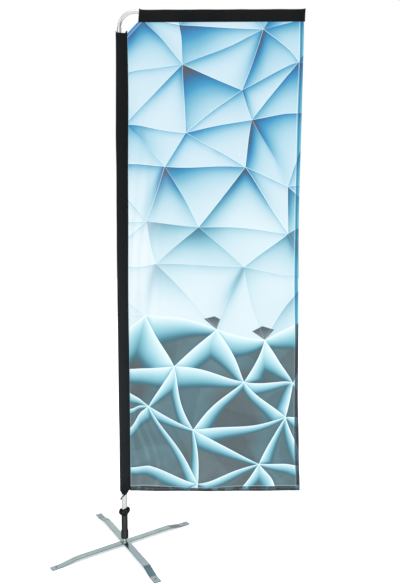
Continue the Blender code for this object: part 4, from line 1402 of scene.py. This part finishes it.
def pocket_section(x, inner=False):
    """One round of the arm pocket as rows of y and z, anticlockwise seen from its right end."""
    radius = ARM_R + 0.0011 - (WALL if inner else 0.0)
    foot = POCKET_SEAM_Z + FLANGE + (0.0006 if inner else 0.0)
    h = 0.0004 if inner else SEAM
    pts = []
    for k in range(25):
        a = math.pi * k / 24
        pts.append((radius * math.cos(a), ARM_Z + radius * math.sin(a)))
    side = []
    tall = ARM_Z - foot
    for k in range(1, 17):
        u = k / 16
        side.append((-(h + (radius - h) * math.cos(math.pi / 2 * u) ** 0.85), ARM_Z - tall * u))
    reach = 0.0003 if inner else FLANGE
    side += [(-h, foot - reach * t) for t in (0.25, 0.6, 0.92)]
    side.append((-h * 0.55, foot - reach))
    pts += side
    pts += [(-y, z) for y, z in reversed(side)]
    return np.array(pts)


def pocket():
    x0, x1 = POCKET_X
    xs = [x0]
    x = x0
    while x < x1 - 0.0005:
        x += 0.0035 if (x < x0 + 0.03 or x > x1 - 0.03) else 0.0085
        xs.append(min(x, x1))
    xs = np.array(xs)

    def rows(inner):
        out = []
        end = x1 - (WALL if inner else 0.0)
        for x in xs:
            sec = pocket_section(x, inner)
            y, z = sec[:, 0].copy(), sec[:, 1].copy()
            tall = np.clip((z - POCKET_SEAM_Z) / (ARM_Z + 0.0108 - POCKET_SEAM_Z), 0, 1)
            cloth = np.sin(math.pi * np.clip((z - POCKET_SEAM_Z - FLANGE) / 0.048, 0, 1))
            side = np.sign(y)
            d = 0.00085 * np.sin(7 * x + 3.1 * side + 2 * tall) * cloth + 0.00045 * np.sin(23 * x + 9 * tall + side) * cloth
            d = d + 0.0003 * np.sin(61 * x - 14 * tall)
            left = math.exp(-(x - x0) / 0.012)
            right = math.exp(-(x1 - x) / 0.010)
            d = d + 0.0010 * left * np.sin(9 * tall + side)
            wide = math.sqrt(max(1 - max((x - (x1 - 0.0042)) / 0.0044, 0) ** 2, 0.006))
            y = (y + side * d * (np.abs(y) > 0.002)) * wide
            top = step(ARM_Z, ARM_Z + 0.0100, z)
            z = z + top * (0.0078 * left + 0.0042 * right)
            z = z + 0.0004 * np.sin(31 * x) * top
            lean = 0.008 * tall * left
            push = 0.0018 * np.sin(4 * tall + 0.4) * right
            xx = min(x, end) + lean - push
            out.append(np.stack([np.full(len(y), 0.0) + xx, y, z], 1))
        return out

    outer, inner = rows(False), rows(True)
    n = len(outer[0])
    loops = outer[::-1] + inner
    verts, faces = skin(loops)
    faces.append(tuple(range(n)))
    last = (len(loops) - 1) * n
    faces.append(tuple(last + j for j in reversed(range(n))))
    obj = fix_normals(add_mesh("cloth_arm_pocket", verts, faces, "black_cloth", "pole", ("arm_pocket",), sharp=60))
    return obj


pocket_obj = pocket()


# ---------------------------------------------------------------- stitching
def stitches(name, places, normal_offset, pitch, length, radius, mat, body="pole"):
    """A row of short thread lengths lying on the cloth. places(t) gives the point and direction at distance t."""
    verts, faces = [], []
    sides = 5
    for base, along, normal in places:
        along, normal = Vector(along).normalized(), Vector(normal).normalized()
        side = along.cross(normal).normalized()
        start = len(verts)
        profile = [(-0.5, 0.25, -0.35), (-0.38, 0.85, 0.30), (0.0, 1.0, 0.55), (0.38, 0.85, 0.30), (0.5, 0.25, -0.35)]
        for t, r, lift in profile:
            centre = Vector(base) + along * (t * length) + normal * (normal_offset + lift * radius)
            for k in range(sides):
                a = 2 * math.pi * k / sides
                verts.append(tuple(centre + r * radius * (math.cos(a) * side + 0.8 * math.sin(a) * normal)))
        for i in range(4):
            for k in range(sides):
                m = (k + 1) % sides
                faces.append((start + i * sides + k, start + i * sides + m, start + (i + 1) * sides + m, start + (i + 1) * sides + k))
        faces.append(tuple(start + k for k in reversed(range(sides))))
        faces.append(tuple(start + 4 * sides + k for k in range(sides)))
    return fix_normals(add_mesh(name, verts, faces, mat, body))


def panel_row(path, pitch, face):
    """Stitch places along a line (p, q) on the panel, on its front (-1) or back (+1)."""
    path = np.array(path, float)
    seg = np.concatenate([[0], np.cumsum(np.hypot(*np.diff(path, axis=0).T))])
    t = np.arange(pitch / 2, seg[-1], pitch)
    here = np.stack([np.interp(t, seg, path[:, 0]), np.interp(t, seg, path[:, 1])], 1)
    ahead = np.stack([np.interp(t + 0.001, seg, path[:, 0]), np.interp(t + 0.001, seg, path[:, 1])], 1)
    out = []
    for a, b in zip(here, ahead):
        xa, za = to_cloth(*a)
        xb, zb = to_cloth(*b)
        if abs(xb - xa) + abs(zb - za) < 1e-7:
            continue
        base = (float(xa), float(ripple(xa, za)) + face * 0.00015 + (0.0006 if face > 0 else 0.0), float(za))
        out.append((base, (float(xb - xa), 0.0, float(zb - za)), (0, face, 0)))
    return out


rows = []
for face in (-1, 1):
    rows += panel_row([(P_W - HEM_SIDE + 0.003, HEM_BOTTOM + 0.004), (P_W - HEM_SIDE + 0.003, Q_H - 0.004)], 0.0052, face)
    rows += panel_row([(0.010, HEM_BOTTOM - 0.003), (P_W - 0.004, HEM_BOTTOM - 0.003)], 0.0052, face)
    rows += panel_row([tuple(a + along * 0.013 + across * 0.8), tuple(b - along * 0.016 + across * 0.8)], 0.0052, face)
hem_thread = stitches("hem_stitching", rows, 0.0, 0.0052, 0.0036, 0.00028, "pale_thread")

rows = []
for face in (-1, 1):
    for z in np.arange(0.332, 2.872, 0.0055):
        x = float(sleeve_right(z)) - FLANGE * 0.45
        rows.append(((x, face * SEAM, z), (0, 0, 1), (0, face, 0)))
    for x in np.arange(0.108, 1.003, 0.0055):
        rows.append(((x, face * SEAM, POCKET_SEAM_Z + FLANGE * 0.45), (1, 0, 0), (0, face, 0)))
seam_thread = stitches("seam_stitching", rows, 0.0, 0.0055, 0.0038, 0.00032, "thread")


def girth(section):
    loop = np.vstack([section, section[:1]])
    return float(np.hypot(*np.diff(loop, axis=0).T).sum())


sleeve_girth = girth(sleeve_section(1.4))
pocket_girth = girth(pocket_section(0.5))

# ---------------------------------------------------------------- finishes on the carried-over pieces
slots = {s["node"]: s["material_slot"] for s in frame["record"]["subparts"]}
for name, obj in frame["nodes"].items():
    if obj.hide_render:
        continue
    mat = MAT[slots[name]]
    if not obj.data.materials:
        obj.data.materials.append(mat)
    for i in range(len(obj.material_slots)):
        obj.material_slots[i].material = mat

# ---------------------------------------------------------------- floor and light
mesh = bpy.data.meshes.new("floor")
mesh.from_pydata([(-30, -30, 0), (30, -30, 0), (30, 30, 0), (-30, 30, 0)], [], [(0, 1, 2, 3)])
mesh.materials.append(floor_material())
floor = bpy.data.objects.new("floor", mesh)
floor.location.z = -0.0004
bpy.context.scene.collection.objects.link(floor)


def sun(name, direction, strength, spread, tint=(1, 1, 1)):
    data = bpy.data.lights.new(name, "SUN")
    data.energy = strength
    data.angle = math.radians(spread)
    data.color = tint
    obj = bpy.data.objects.new(name, data)
    obj.rotation_euler = Vector(direction).to_track_quat("Z", "Y").to_euler()
    bpy.context.scene.collection.objects.link(obj)


sun("key", (-0.45, -0.62, 0.75), 0.85, 50)
sun("overhead", (0.1, -0.15, 1.0), 1.7, 60)


def studio_world():
    world = bpy.data.worlds.new("studio")
    bpy.context.scene.world = world
    world.use_nodes = True
    tree = world.node_tree
    back = tree.nodes["Background"]

    def math_node(op, a, b=0.0, c=0.0):
        made = tree.nodes.new("ShaderNodeMath")
        made.operation = op
        for i, v in enumerate((a, b, c)):
            if isinstance(v, bpy.types.NodeSocket):
                tree.links.new(v, made.inputs[i])
            else:
                made.inputs[i].default_value = v
        return made.outputs[0]

    def remap(value, a, b, c, d):
        made = tree.nodes.new("ShaderNodeMapRange")
        made.interpolation_type = "SMOOTHSTEP"
        tree.links.new(value, made.inputs["Value"])
        for key, v in (("From Min", a), ("From Max", b), ("To Min", c), ("To Max", d)):
            made.inputs[key].default_value = v
        return made.outputs["Result"]

    way = tree.nodes.new("ShaderNodeTexCoord").outputs["Generated"]
    split = tree.nodes.new("ShaderNodeSeparateXYZ")
    tree.links.new(way, split.inputs[0])
    x, y, z = split.outputs
    ceiling = math_node("MULTIPLY", remap(z, 0.66, 0.76, 0.0, 1.0), remap(z, 0.90, 0.96, 1.0, 0.0))
    low = remap(z, 0.30, 0.42, 1.0, 0.0)
    side = math_node("MULTIPLY", remap(math_node("ABSOLUTE", x), 0.70, 0.95, 0.0, 1.0), low)
    rear = math_node("MULTIPLY", remap(y, 0.30, 0.80, 0.0, 1.0), remap(z, 0.22, 0.34, 1.0, 0.0))
    level = math_node("SUBTRACT", 1.0, math_node("MULTIPLY", ceiling, 0.92))
    level = math_node("MULTIPLY", level, math_node("SUBTRACT", 1.0, math_node("MULTIPLY", side, 0.72)))
    level = math_node("MULTIPLY", level, math_node("SUBTRACT", 1.0, math_node("MULTIPLY", rear, 0.70)))
    path = tree.nodes.new("ShaderNodeLightPath")
    straight = path.outputs["Is Camera Ray"]
    level = math_node("ADD", math_node("MULTIPLY", level, math_node("SUBTRACT", 1.0, straight)), straight)
    tree.links.new(level, back.inputs["Strength"])
    back.inputs["Color"].default_value = (1.0, 1.0, 1.0, 1.0)


studio_world()

bpy.context.view_layer.update()
